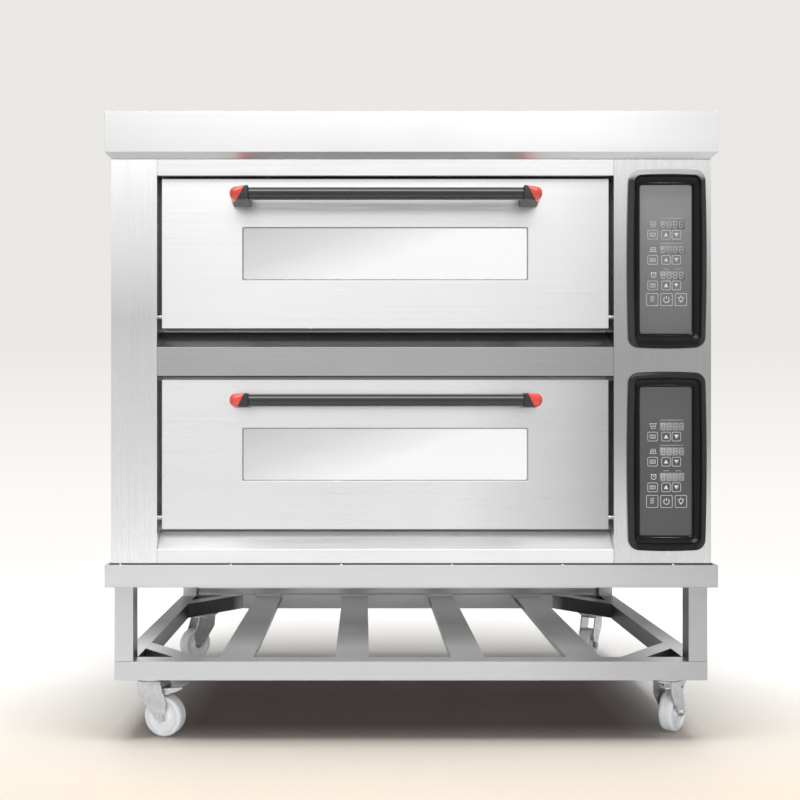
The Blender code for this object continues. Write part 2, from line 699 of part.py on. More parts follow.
def make_top_cap():
    """A pan upside down, with its lower edge chamfered in to meet the body."""
    bottom = BODY_TOP + GAP
    low = (BODY_LEFT - CAP_OVERHANG, FRONT - CAP_FRONT, bottom)
    high = (BODY_RIGHT + CAP_OVERHANG, BACK + CAP_OVERHANG, bottom + CAP_HEIGHT)
    cap = box("top_cap", low, high)
    bm = bmesh.new()
    bm.from_mesh(cap.data)
    lowest = min(vertex.co.z for vertex in bm.verts)
    rim = [e for e in bm.edges if all(abs(v.co.z - lowest) < 1e-6 for v in e.verts)]
    bmesh.ops.bevel(bm, geom=rim, offset=CAP_CHAMFER, segments=1, profile=0.5, affect="EDGES")
    underside = [f for f in bm.faces if f.normal.z < -0.99]
    bmesh.ops.delete(bm, geom=underside, context="FACES")
    bm.to_mesh(cap.data)
    bm.free()
    solidify = cap.modifiers.new("sheet", "SOLIDIFY")
    solidify.thickness = SHEET
    solidify.offset = -1.0
    solidify.use_even_offset = True
    as_part(cap, "stainless")


# ---- decks ----------------------------------------------------------------------------------
def chamber_floor(base):
    return base + DOOR_ABOVE_BASE + CHAMBER_RISE


def terminal_holes(name, base, radius, x):
    """Round holes for both elements' ends through a wall that stands at X."""
    holes = []
    for side, z in element_heights(base):
        for i, y in enumerate(terminal_places()):
            start, end = (x - 0.01, y, z), (x + 0.06, y, z)
            holes.append(rod(f"{name}_{side}_{i}", start, end, radius, 12))
    return holes


def element_heights(base):
    floor = chamber_floor(base)
    return (("bottom", floor + ELEMENT_LIFT), ("top", floor + CHAMBER_HEIGHT - ELEMENT_LIFT))


def element_rows():
    """Depths of an element's straight runs, front to back."""
    first = FLANGE_FRONT + SHEET + ELEMENT_MARGIN
    last = CHAMBER_BACK - ELEMENT_MARGIN
    return [first + (last - first) * i / (ELEMENT_RUNS - 1) for i in range(ELEMENT_RUNS)]


def terminal_places():
    rows = element_rows()
    return rows[0], rows[-1]


def make_chamber(deck, base, head):
    """A liner box, open at the front, with a flange that fills the door opening behind the door."""
    floor = chamber_floor(base)
    half = CHAMBER_WIDTH / 2
    low = (DOOR_CENTRE - half - SHEET, FLANGE_FRONT, floor - SHEET)
    high = (DOOR_CENTRE + half + SHEET, CHAMBER_BACK + SHEET, floor + CHAMBER_HEIGHT + SHEET)
    chamber = box(f"{deck}_chamber", low, high)
    flange_low = (OPENING_LEFT + GAP, FLANGE_FRONT, base + SILL_FRONT + SILL_RUN - 2 * SHEET)
    flange_high = (OPENING_RIGHT - GAP, FLANGE_FRONT + SHEET, head + 2 * SHEET)
    flange = box(f"{deck}_flange", flange_low, flange_high)
    hollow_low = (DOOR_CENTRE - half, FLANGE_FRONT - 0.05, floor)
    hollow_high = (DOOR_CENTRE + half, CHAMBER_BACK, floor + CHAMBER_HEIGHT)
    hollow = box(f"{deck}_hollow", hollow_low, hollow_high)
    join(chamber, [flange])
    holes = terminal_holes(f"{deck}_liner_hole", base, ELEMENT_RADIUS + 2 * PIN_CLEARANCE, high[0])
    as_part(cut(chamber, [hollow] + holes), "liner")


def make_insulation(deck, base):
    """Mineral wool round the chamber on all sides but the front, one deck high."""
    bottom = base + (SHEET + GAP if deck == "lower" else GAP)
    top = base + DECK_PITCH if deck == "lower" else BODY_TOP
    floor = chamber_floor(base)
    half = CHAMBER_WIDTH / 2 + SHEET + GAP
    front = FRONT + JAMB_DEPTH + GAP
    low = (DOOR_CENTRE - half - INSULATION_SIDE, front, bottom)
    high = (OPENING_RIGHT - GAP, CHAMBER_BACK + INSULATION_BACK, top)
    wool = box(f"{deck}_insulation", low, high)
    hollow_low = (DOOR_CENTRE - half, front - 0.05, floor - SHEET - GAP)
    roof = floor + CHAMBER_HEIGHT + SHEET
    hollow_high = (DOOR_CENTRE + half, CHAMBER_BACK + SHEET + GAP, roof + GAP)
    hollow = box(f"{deck}_wool_hollow", hollow_low, hollow_high)
    holes = terminal_holes(f"{deck}_wool_hole", base, ELEMENT_RADIUS * 1.5, hollow_high[0])
    as_part(cut(wool, [hollow] + holes), "mineral_wool")


def make_hearth(deck, base):
    """A heavy plate on two folded edges that stand on the chamber's floor, over the element."""
    floor = chamber_floor(base)
    half = CHAMBER_WIDTH / 2 - HEARTH_CLEARANCE
    top = floor + GAP + HEARTH_RISE
    low = (DOOR_CENTRE - half, FLANGE_FRONT + SHEET, floor + GAP)
    high = (DOOR_CENTRE + half, CHAMBER_BACK - HEARTH_CLEARANCE, top)
    plate = box(f"{deck}_hearth_plate", low, high)
    hollow_low = (low[0] + HEARTH_THICKNESS, low[1] - 0.01, low[2] - 0.01)
    hollow_high = (high[0] - HEARTH_THICKNESS, high[1] + 0.01, top - HEARTH_THICKNESS)
    notches = [box(f"{deck}_hearth_hollow", hollow_low, hollow_high)]
    for i, y in enumerate(terminal_places()):
        side = ELEMENT_RADIUS * 2
        notch_low = (high[0] - 0.02, y - side, low[2] - 0.01)
        notch_high = (high[0] + 0.02, y + side, low[2] + ELEMENT_LIFT + side)
        notches.append(box(f"{deck}_hearth_notch_{i}", notch_low, notch_high))
    as_part(cut(plate, notches), "hearth")


def element_path():
    """A snake of straight runs joined by half circles, from one terminal to the other."""
    rows = element_rows()
    pitch = rows[1] - rows[0]
    reach = CHAMBER_WIDTH / 2 - ELEMENT_MARGIN - pitch / 2
    right = DOOR_CENTRE + reach
    left = DOOR_CENTRE - reach
    terminal = DOOR_CENTRE + CHAMBER_WIDTH / 2 + SHEET + 0.030
    points = [(terminal, rows[0])]
    for i, y in enumerate(rows[:-1]):
        side, bend_x = (-1, left) if i % 2 == 0 else (1, right)
        for k in range(7):
            turn = math.pi * k / 6
            x = bend_x + side * pitch / 2 * math.sin(turn)
            points.append((x, y + pitch / 2 * (1 - math.cos(turn))))
    points.append((terminal, rows[-1]))
    return points


def make_element(deck, side, z):
    curve = bpy.data.curves.new(f"{deck}_{side}_element", "CURVE")
    curve.dimensions = "3D"
    curve.bevel_depth = ELEMENT_RADIUS
    curve.bevel_resolution = 1
    curve.use_fill_caps = True
    points = element_path()
    spline = curve.splines.new("POLY")
    spline.points.add(len(points) - 1)
    for point, (x, y) in zip(spline.points, points):
        point.co = (x, y, 0, 1)
    as_part(place(f"{deck}_{side}_element", curve, (0, 0, z)), "element")


# ---- doors ----------------------------------------------------------------------------------
def make_door(deck, base):
    """The door's pieces, in the frame of its hinge axis at the middle of its width."""
    hinge_y, hinge_z = hinge_axis(base)
    hinge = empty(f"{deck}_door_hinge", (DOOR_CENTRE, hinge_y, hinge_z))
    half = DOOR_WIDTH / 2
    face = -HINGE_SETBACK
    bottom = -HINGE_RISE
    top = bottom + DOOR_HEIGHT
    rear = face + DOOR_THICKNESS
    window_low = bottom + WINDOW_RISE
    window_half = WINDOW_WIDTH / 2

    skin = box(f"{deck}_door_skin", (-half, face, bottom), (half, rear - SHEET - GAP, top), hinge)
    pocket_low = (-half + SHEET, face + SHEET, bottom + SHEET)
    pocket_high = (half - SHEET, rear + 0.05, top - SHEET)
    window = box(
        f"{deck}_skin_window",
        (-window_half, face - 0.01, window_low),
        (window_half, face + 0.01, window_low + WINDOW_HEIGHT),
        hinge,
    )
    pocket = box(f"{deck}_skin_pocket", pocket_low, pocket_high, hinge)
    hole_radius = HINGE_PIN_RADIUS + PIN_CLEARANCE
    pin_hole = rod(f"{deck}_pin_hole", (-half - 0.01, 0, 0), (half + 0.01, 0, 0), hole_radius, 16, hinge)
    as_part(cut(skin, [pocket, window, pin_hole]), "stainless")

    glass_low = (-window_half - GLASS_MARGIN, face + SHEET + GAP, window_low - GLASS_MARGIN)
    glass_back = face + SHEET + GAP + GLASS_THICKNESS
    glass_high = (window_half + GLASS_MARGIN, glass_back, window_low + WINDOW_HEIGHT + GLASS_MARGIN)
    as_part(box(f"{deck}_window_glass", glass_low, glass_high, hinge), "glass")
    make_door_liner(deck, hinge, glass_back, window_low)
    make_handle(deck, hinge, bottom + HANDLE_RISE, face)


def make_door_liner(deck, hinge, glass_back, window_low):
    """The door's inner pan: a plate, its folded edges, a frame that holds the glass, and the pins."""
    face = -HINGE_SETBACK
    rear = face + DOOR_THICKNESS
    bottom = -HINGE_RISE
    side = DOOR_WIDTH / 2 - SHEET - GAP
    low_z = bottom + SHEET + GAP
    high_z = bottom + DOOR_HEIGHT - SHEET - GAP
    front = face + SHEET + GAP
    liner = box(f"{deck}_door_liner", (-side, front, low_z), (side, rear, high_z), hinge)
    frame_half = WINDOW_WIDTH / 2 + GLASS_MARGIN - LINER_INSET
    frame_low = window_low - GLASS_MARGIN + LINER_INSET
    frame_high = window_low + WINDOW_HEIGHT + GLASS_MARGIN - LINER_INSET
    pocket_low = (-side + SHEET, front - 0.01, low_z + SHEET)
    pocket_high = (side - SHEET, rear - SHEET, high_z - SHEET)
    pocket = box(f"{deck}_liner_pocket", pocket_low, pocket_high, hinge)
    frame = box(
        f"{deck}_glass_frame",
        (-frame_half, glass_back + GAP, frame_low),
        (frame_half, rear - SHEET / 2, frame_high),
        hinge,
    )
    view = box(
        f"{deck}_glass_view",
        (-frame_half + SHEET, front, frame_low + SHEET),
        (frame_half - SHEET, rear + 0.01, frame_high - SHEET),
        hinge,
    )
    cut(liner, [pocket])
    pins = []
    for i, direction in enumerate((-1, 1)):
        start = (direction * (side - SHEET / 2), 0, 0)
        end = (direction * (side + HINGE_PIN_REACH), 0, 0)
        pins.append(rod(f"{deck}_hinge_pin_{i}", start, end, HINGE_PIN_RADIUS, 16, hinge))
    join(liner, [frame] + pins)
    as_part(cut(liner, [view]), "stainless")


def make_handle(deck, hinge, rise, face):
    """A tube in two moulded feet, each with a coloured corner piece."""
    axis_y = face - HANDLE_STANDOFF
    end = HANDLE_LENGTH / 2
    tube_end = end - FOOT_WIDTH + SOCKET_DEPTH
    bar_start, bar_end = (-tube_end, axis_y, rise), (tube_end, axis_y, rise)
    bar = rod(f"{deck}_handle_bar", bar_start, bar_end, HANDLE_RADIUS, 24, hinge)
    bore = rod(
        f"{deck}_handle_bore",
        (-tube_end - 0.01, axis_y, rise),
        (tube_end + 0.01, axis_y, rise),
        HANDLE_RADIUS - HANDLE_WALL,
        16,
        hinge,
    )
    as_part(cut(bar, [bore]), "black_tube")
    front = face - HANDLE_REACH
    for side, label in ((-1, "left"), (1, "right")):
        outer, inner = side * end, side * (end - FOOT_WIDTH)
        low = (min(outer, inner), front, rise - FOOT_HEIGHT / 2)
        high = (max(outer, inner), face - GAP, rise + FOOT_HEIGHT / 2)
        foot = foot_block(f"{deck}_handle_foot_{label}", low, high, side, hinge)
        cap = foot_block(f"{deck}_handle_cap_{label}", low, high, side, hinge)
        socket = rod(
            f"{deck}_socket_{label}",
            (inner - side * 0.01, axis_y, rise),
            (inner + side * (SOCKET_DEPTH + GAP), axis_y, rise),
            HANDLE_RADIUS + PIN_CLEARANCE,
            24,
            hinge,
        )
        keep = cap_wedge(f"{deck}_cap_wedge_{label}", low, high, side, -GAP, hinge)
        away = cap_wedge(f"{deck}_foot_wedge_{label}", low, high, side, 0, hinge)
        as_part(cut(combine(cap, [keep], "INTERSECT"), [socket]), "red_plastic")
        as_part(cut(foot, [away, socket]), "black_plastic")


def foot_block(name, low, high, side, parent):
    """A block whose outer front corner is rounded, as seen from above."""
    block = box(name, low, high, parent)
    bm = bmesh.new()
    bm.from_mesh(block.data)
    half = (Vector(high) - Vector(low)) / 2
    corner = [
        e
        for e in bm.edges
        if all(abs(v.co.x - side * half.x) < 1e-6 and abs(v.co.y + half.y) < 1e-6 for v in e.verts)
    ]
    bmesh.ops.bevel(bm, geom=corner, offset=FOOT_CORNER, segments=5, profile=0.5, affect="EDGES")
    bm.to_mesh(block.data)
    bm.free()
    return block


def cap_wedge(name, low, high, side, growth, parent):
    """The region of the cap: outside a plane that slants outwards to the toe and to the rear."""
    middle_x = (low[0] + high[0]) / 2
    half_x = (high[0] - low[0]) / 2
    z_low, z_high = low[2] - CAP_SPARE, high[2] + CAP_SPARE
    lean = (CAP_TOP_REACH - CAP_TOE_REACH) / FOOT_HEIGHT * CAP_SPARE
    outside = side * (half_x + CAP_SPARE)
    inner_top = side * (half_x - CAP_TOP_REACH - lean - growth)
    inner_low = side * (half_x - CAP_TOE_REACH + lean - growth)
    outline = [(inner_top, z_high), (outside, z_high), (outside, z_low), (inner_low, z_low)]
    depth = CAP_DEPTH + growth
    upright = Matrix.Rotation(math.radians(90), 3, "X")
    leaning = Matrix(((1, side * CAP_LEAN, 0), (0, 1, 0), (0, 0, 1)))
    rear = (middle_x + side * CAP_LEAN * depth, low[1] + depth, 0)
    return prism(name, outline, depth + CAP_SPARE, leaning @ upright, rear, parent)


# ---- controls and services ------------------------------------------------------------------
def bezel_centre(base):
    return COLUMN_CENTRE + BEZEL_OFFSET, base + DOOR_ABOVE_BASE + BEZEL_RISE


def make_controls(deck, base):
    """A deep moulded tray with a flat membrane keypad on its floor."""
    x, z = bezel_centre(base)
    half_w, half_h = BEZEL_WIDTH / 2, BEZEL_HEIGHT / 2
    rim_low = (x - half_w, FRONT - BEZEL_PROUD, z - half_h)
    rim_high = (x + half_w, FRONT - GAP, z + half_h)
    rim = box(f"{deck}_control_bezel", rim_low, rim_high)
    round_edges(rim, BEZEL_CORNER, 5, 1)
    pad_w, pad_h = KEYPAD_WIDTH / 2, KEYPAD_HEIGHT / 2
    pad_front = FRONT - BEZEL_PROUD + KEYPAD_SETBACK
    pad_back = pad_front + KEYPAD_THICKNESS
    tub = box(
        f"{deck}_tub",
        (x - pad_w - TUB_WALL, FRONT - BEZEL_PROUD / 2, z - pad_h - TUB_WALL),
        (x + pad_w + TUB_WALL, pad_back + GAP + TUB_WALL, z + pad_h + TUB_WALL),
    )
    recess = box(
        f"{deck}_recess",
        (x - pad_w - GAP, FRONT - BEZEL_PROUD - 0.01, z - pad_h - GAP),
        (x + pad_w + GAP, pad_back + GAP, z + pad_h + GAP),
    )
    join(rim, [tub])
    as_part(cut(rim, [recess]), "black_plastic")
    keypad = box(f"{deck}_keypad", (x - pad_w, pad_front, z - pad_h), (x + pad_w, pad_back, z + pad_h))
    as_part(keypad, "keypad")


def make_switchgear():
    """The plate inside the column, with contactors on a rail and a terminal block, on a folded foot."""
    x = OPENING_RIGHT + SWITCHGEAR_SIDE
    face = x + SWITCHGEAR_THICKNESS
    front = FRONT + SWITCHGEAR_SETBACK
    back = front + SWITCHGEAR_DEPTH
    bottom = SHELL_BASE
    plate = box("switchgear_panel", (x, front, bottom), (face, back, bottom + SWITCHGEAR_HEIGHT))
    foot_width = 0.040
    foot_high = (x + foot_width, back, bottom + SWITCHGEAR_THICKNESS)
    fitted = [box("switchgear_foot", (x, front, bottom), foot_high)]
    rail_width, rail_depth, margin = 0.035, 0.007, 0.020
    deep, wide, tall = CONTACTOR
    pitch = SWITCHGEAR_DEPTH / (CONTACTORS_PER_ROW + 0.8)
    for row, share in enumerate((0.23, 0.71)):
        z = bottom + share * SWITCHGEAR_HEIGHT
        rail_low = (x + SEAT_OVERLAP, front + margin, z - rail_width / 2)
        rail_high = (face + rail_depth, back - margin, z + rail_width / 2)
        fitted.append(box(f"switchgear_rail_{row}", rail_low, rail_high))
        for i in range(CONTACTORS_PER_ROW):
            y = front + pitch * (i + 0.6)
            low = (face + rail_depth - SEAT_OVERLAP, y, z - tall / 2)
            high = (low[0] + deep, y + wide, z + tall / 2)
            fitted.append(box(f"contactor_{row}_{i}", low, high))
    block_z = bottom + SWITCHGEAR_HEIGHT * 0.45
    block_low = (x + SEAT_OVERLAP, front + 2 * margin, block_z - rail_width / 2)
    block_high = (x + foot_width, back - 4 * margin, block_z + rail_width / 2)
    fitted.append(box("terminal_block", block_low, block_high))
    as_part(join(plate, fitted), "switchgear")


def make_cable_gland():
    """A hollow gland through the back panel: a tail inside, a hexagonal flange and a domed nut."""
    z = BASE + GLAND_RISE
    flange_out = 0.007
    profile = [
        (GLAND_BORE, GLAND_PROUD),
        (GLAND_THREAD - 0.001, GLAND_PROUD),
        (GLAND_RADIUS, GLAND_PROUD - 0.006),
        (GLAND_RADIUS, flange_out + 0.002),
        (GLAND_RADIUS + 0.003, flange_out),
        (GLAND_RADIUS + 0.003, GAP),
        (GLAND_THREAD, GAP),
        (GLAND_THREAD, -GLAND_TAIL),
        (GLAND_BORE, -GLAND_TAIL),
        (GLAND_BORE, GLAND_PROUD),
    ]
    gland = turned("cable_gland", profile, 24, (math.radians(-90), 0, 0), (COLUMN_CENTRE, BACK, z))
    as_part(gland, "black_plastic")


def main():
    make_stand_frame()
    make_shelf_frame()
    for name, side, end, heading in CORNERS:
        make_caster(name, side, end, heading, braked=end < 0)
    make_base_and_back()
    make_posts()
    make_side_panels()
    make_fascias()
    make_top_cap()
    for (deck, base), door_top, head_gap in zip(DECKS, DOOR_TOPS, HEAD_GAPS):
        make_chamber(deck, base, door_top + head_gap)
        make_insulation(deck, base)
        make_hearth(deck, base)
        for side, z in element_heights(base):
            make_element(deck, side, z)
        make_door(deck, base)
        make_controls(deck, base)
    make_switchgear()
    make_cable_gland()


main()
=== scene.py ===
"""A two-deck oven on its wheeled stand: the finishes of its parts, and the finer pieces that stand for some of them."""

import json
import logging
import math
from dataclasses import dataclass
from enum import Enum

import bmesh
import bpy
import numpy as np
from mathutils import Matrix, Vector

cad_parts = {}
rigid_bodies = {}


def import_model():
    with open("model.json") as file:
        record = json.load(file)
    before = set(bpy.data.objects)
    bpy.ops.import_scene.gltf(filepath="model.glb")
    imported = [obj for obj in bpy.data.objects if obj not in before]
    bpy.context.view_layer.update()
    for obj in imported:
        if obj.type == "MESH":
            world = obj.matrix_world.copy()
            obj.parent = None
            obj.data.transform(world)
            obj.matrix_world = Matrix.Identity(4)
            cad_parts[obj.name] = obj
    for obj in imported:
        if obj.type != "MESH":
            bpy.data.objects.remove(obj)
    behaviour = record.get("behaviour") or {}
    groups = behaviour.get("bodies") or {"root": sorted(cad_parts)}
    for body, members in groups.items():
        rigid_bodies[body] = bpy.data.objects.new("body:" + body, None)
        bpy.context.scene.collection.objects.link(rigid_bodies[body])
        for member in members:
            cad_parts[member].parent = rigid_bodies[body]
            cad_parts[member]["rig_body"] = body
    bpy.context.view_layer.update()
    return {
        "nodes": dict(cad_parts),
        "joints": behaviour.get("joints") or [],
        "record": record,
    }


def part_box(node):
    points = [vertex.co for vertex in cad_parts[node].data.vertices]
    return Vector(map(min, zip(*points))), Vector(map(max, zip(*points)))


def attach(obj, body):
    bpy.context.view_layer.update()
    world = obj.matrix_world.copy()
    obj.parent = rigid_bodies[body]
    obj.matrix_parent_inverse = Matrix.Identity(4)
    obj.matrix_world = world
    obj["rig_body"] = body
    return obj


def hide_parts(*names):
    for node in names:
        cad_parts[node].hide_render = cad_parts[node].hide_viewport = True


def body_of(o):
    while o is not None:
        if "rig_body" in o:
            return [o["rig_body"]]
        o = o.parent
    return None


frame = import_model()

LOG = logging.getLogger("deck_oven")
Point = tuple[float, float, float]
Colour = tuple[float, float, float]
Flat = tuple[float, float]
Row = tuple[tuple[float, float], ...]  # (place along an axis in metres, share of the tone)
Shape = tuple[np.ndarray, list]  # points, and the faces' point numbers
GAP = 0.0003  # kept between pieces that lie on one another
DECKS = ("lower", "upper")
CORNERS = ("front_left", "front_right", "rear_left", "rear_right")
SMOOTH_ANGLE = math.radians(32)
SLOTS = {part["node"]: part["material_slot"] for part in frame["record"]["subparts"]}
X, Y, Z = 0, 1, 2  # the axes' numbers


# ---- shader graphs -----------------------------------------------------------------------------
class Value:
    """A shader number; arithmetic on it adds Math nodes."""

    def __init__(self, graph: "Graph", socket: bpy.types.NodeSocket) -> None:
        """Keeps the graph and the socket that the number comes from."""
        self.graph = graph
        self.socket = socket

    def _with(self, operation: str, *terms: object) -> "Value":
        """A Math node of that operation on its terms."""
        return self.graph.value("ShaderNodeMath", {"operation": operation}, dict(enumerate(terms)))

    def __add__(self, other: object) -> "Value":
        """This plus the other."""
        return self._with("ADD", self, other)

    def __radd__(self, other: object) -> "Value":
        """The other plus this."""
        return self._with("ADD", other, self)

    def __sub__(self, other: object) -> "Value":
        """This less the other."""
        return self._with("SUBTRACT", self, other)

    def __rsub__(self, other: object) -> "Value":
        """The other less this."""
        return self._with("SUBTRACT", other, self)

    def __mul__(self, other: object) -> "Value":
        """This times the other."""
        return self._with("MULTIPLY", self, other)

    def __abs__(self) -> "Value":
        """This without its sign."""
        return self._with("ABSOLUTE", self)


class Graph:
    """A node tree under construction, for a material or for the world."""

    def __init__(self, tree: bpy.types.NodeTree) -> None:
        """Empties the tree."""
        self.tree = tree
        tree.nodes.clear()

    def add(self, kind: str, settings: dict | None = None, inputs: dict | None = None) -> bpy.types.Node:
        """Adds one node.

        Args:
            kind: the node's type.
            settings: properties, set first; "stops" holds a ramp's (position, colour) pairs.
            inputs: numbers, colours, Values or sockets by socket name or index.

        Returns:
            The node.
        """
        node = self.tree.nodes.new(kind)
        for name, setting in (settings or {}).items():
            if name == "stops":
                self._set_stops(node.color_ramp, setting)
            else:
                setattr(node, name, setting)
        for name, given in (inputs or {}).items():
            socket = node.inputs[name]
            source = given.socket if isinstance(given, Value) else given
            if isinstance(source, bpy.types.NodeSocket):
                self.tree.links.new(source, socket)
            else:
                socket.default_value = source
        return node

    @staticmethod
    def _set_stops(ramp: bpy.types.ColorRamp, stops: list) -> None:
        """Gives a ramp its (position, colour) pairs, in rising order."""
        while len(ramp.elements) < len(stops):
            ramp.elements.new(1.0)
        for element, (position, colour) in zip(ramp.elements, stops):
            element.position = position
            element.color = (*colour, 1.0)

    def value(self, kind: str, settings: dict | None, inputs: dict, output: int | str = 0) -> Value:
        """Adds a node and returns one of its outputs as a Value."""
        return Value(self, self.add(kind, settings, inputs).outputs[output])

    def noise(self, scale: Point, detail: float, roughness: float) -> Value:
        """Fractal noise from 0 to 1 on the object coordinates, with so many patches per metre along each axis."""
        place = self.add("ShaderNodeTexCoord").outputs["Object"]
        mapped = self.add("ShaderNodeMapping", None, {"Vector": place, "Scale": scale}).outputs[0]
        inputs = {"Vector": mapped, "Scale": 1.0, "Detail": detail, "Roughness": roughness}
        return self.value("ShaderNodeTexNoise", None, inputs, "Fac")

    def _coordinate(self, kind: str, index: int) -> Value:
        """One component of a texture coordinate."""
        source = self.add("ShaderNodeTexCoord").outputs[kind]
        return self.value("ShaderNodeSeparateXYZ", None, {0: source}, index)

    def axis(self, index: int) -> Value:
        """One of the object coordinates, in metres."""
        return self._coordinate("Object", index)

    def facing(self, index: int) -> Value:
        """One component of the surface's direction, from -1 to 1."""
        return self._coordinate("Normal", index)

    def between(self, given: Value, low: float, high: float) -> Value:
        """Where a value lies between two others, clamped from 0 to 1."""
        return self.value("ShaderNodeMapRange", None, {0: given, 1: low, 2: high})

    def greater(self, first: bpy.types.NodeSocket, second: bpy.types.NodeSocket) -> Value:
        """The greater of two numbers."""
        return self.value("ShaderNodeMath", {"operation": "MAXIMUM"}, {0: first, 1: second})

    def mixed(self, factor: object, first: object, second: object) -> bpy.types.NodeSocket:
        """A colour between two colours."""
        node = self.add("ShaderNodeMix", {"data_type": "RGBA"}, {0: factor})
        for socket, colour in ((node.inputs[6], first), (node.inputs[7], second)):
            if isinstance(colour, bpy.types.NodeSocket):
                self.tree.links.new(colour, socket)
            else:
                socket.default_value = (*colour, 1.0)
        return node.outputs[2]

    def multiplied(self, first: bpy.types.NodeSocket, second: bpy.types.NodeSocket) -> bpy.types.NodeSocket:
        """The product of two colours."""
        settings = {"data_type": "RGBA", "blend_type": "MULTIPLY"}
        return self.add("ShaderNodeMix", settings, {0: 1.0, 6: first, 7: second}).outputs[2]

    def ramp(self, given: Value, stops: list) -> bpy.types.NodeSocket:
        """A colour read from a ramp."""
        return self.add("ShaderNodeValToRGB", {"stops": stops}, {0: given}).outputs[0]

    def bump(self, height: Value, strength: float, distance: float) -> bpy.types.NodeSocket:
        """A normal from a height."""
        inputs = {"Strength": strength, "Distance": distance, "Height": height}
        return self.add("ShaderNodeBump", None, inputs).outputs[0]


def grey(level: float) -> Colour:
    """A neutral colour."""
    return (level, level, level)


# ---- finishes ----------------------------------------------------------------------------------
class Grain(Enum):
    """The way that a sheet is brushed: how fast the grain changes along X, Y and Z, per metre."""

    ACROSS = (3.0, 260.0, 260.0)
    UPRIGHT = (260.0, 260.0, 3.0)
    DEEP = (260.0, 3.0, 260.0)


@dataclass(frozen=True)
class Finish:
    """A named finish; each kind works out the shader's inputs in its own way."""

    name: str

    def inputs(self, graph: Graph) -> dict:
        """The Principled shader's inputs by socket name."""
        raise NotImplementedError

    def make(self) -> bpy.types.Material:
        """The finish as a material."""
        made = bpy.data.materials.new(self.name)
        made.use_nodes = True
        graph = Graph(made.node_tree)
        shader = graph.add("ShaderNodeBsdfPrincipled", None, self.inputs(graph))
        graph.add("ShaderNodeOutputMaterial", None, {"Surface": shader.outputs[0]})
        return made


@dataclass(frozen=True)
class BrushedSteel(Finish):
    """Brushed stainless sheet with its grain, smudges and uneven polish, and painted light and shade by place and tilt.
    """

    grain: Grain = Grain.ACROSS
    tone: float = 0.8
    polish: float = 0.30  # roughness
    widths: Row = ()  # painted shade: shares of the tone along X
    depths: Row = ()  # painted shade: shares of the tone along Y
    heights: Row = ()  # painted shade: shares of the tone along Z
    inward: float = 1.0  # painted shade: share on side rails and legs, on the faces that look to the middle
    ahead: float = 1.0  # painted light and shade: share on upright faces
    over: float = 1.0  # painted light and shade: share on faces that look up
    under: float = 1.0  # painted shade: share on faces that look down
    darkest: float = 0.965  # share in the grain's dark lines
    palest: float = 1.03  # share in the grain's pale lines

    def inputs(self, graph: Graph) -> dict:
        """Tone with painted light and shade by place and tilt, streaked by a long fine grain and clouded by wide soft
        noise.
        """
        streak = graph.noise(self.grain.value, detail=7.0, roughness=0.68)
        cloud = graph.noise((2.2, 2.2, 2.2), detail=3.0, roughness=0.5)
        mark = graph.between(streak * 0.55 + cloud * 0.45, 0.32, 0.68)
        colour = graph.mixed(mark, grey(self.tone * self.darkest), grey(min(1.0, self.tone * self.palest)))
        return {
            "Base Color": self._placed(graph, self._tilted(graph, colour)),
            "Metallic": 1.0,
            "Roughness": self.polish + (streak - 0.5) * 0.14 + (cloud - 0.5) * 0.10,
            "Normal": graph.bump(streak, strength=0.03, distance=0.0004),
        }

    def _tilted(self, graph: Graph, colour: bpy.types.NodeSocket) -> bpy.types.NodeSocket:
        """The colour times its share by where the surface looks: down, ahead or up, and to the middle, as painted light
        and shade.
        """
        if (self.under, self.ahead, self.over) != (1.0, 1.0, 1.0):
            steep, level = 0.40, 0.16  # the tilts between which a share gives way to the next
            stops = ((-steep, self.under), (-level, self.ahead), (level, self.ahead), (steep, self.over))
            colour = self._shaded(graph, colour, graph.facing(Z), ((-1.0, self.under), *stops, (1.0, self.over)))
        if self.inward != 1.0:
            # painted shade on the faces of the rails and legs that look to the middle
            inner = graph.between(graph.facing(X) * graph.axis(X), -0.40, -0.52)
            colour = graph.multiplied(colour, graph.mixed(inner, grey(1.0), grey(self.inward)))
        return colour

    def _placed(self, graph: Graph, colour: bpy.types.NodeSocket) -> bpy.types.NodeSocket:
        """The colour times its shares along the three axes, as painted shade by place."""
        for index, row in enumerate((self.widths, self.depths, self.heights)):
            if row:
                colour = self._shaded(graph, colour, graph.axis(index), row)
        return colour

    @staticmethod
    def _shaded(graph: Graph, colour: bpy.types.NodeSocket, given: Value, row: Row) -> bpy.types.NodeSocket:
        """A colour times the share that a row gives for a value, in straight steps between its places."""
        first, last = row[0][0], row[-1][0]
        stops = [((at - first) / (last - first), grey(share)) for at, share in row]
        return graph.multiplied(colour, graph.ramp(graph.between(given, first, last), stops))


@dataclass(frozen=True)
class PlainMetal(Finish):
    """Plated, cast or tinned metal: a fine mottle, with darker patches."""

    colour: Colour
    worn: Colour
    polish: float = 0.35  # roughness
    metallic: float = 1.0
    mottle: float = 60.0  # patches per metre

    def inputs(self, graph: Graph) -> dict:
        """The colour fades to the worn one by patches of noise, and a finer noise roughens it."""
        patch = graph.noise((self.mottle,) * 3, detail=4.0, roughness=0.6)
        fine = graph.noise((self.mottle * 14,) * 3, detail=2.0, roughness=0.5)
        return {
            "Base Color": graph.mixed(graph.between(patch, 0.36, 0.70), self.colour, self.worn),
            "Metallic": self.metallic,
            "Roughness": self.polish + (patch - 0.5) * 0.30 + (fine - 0.5) * 0.10,
            "Normal": graph.bump(fine, strength=0.12, distance=0.0003),
        }


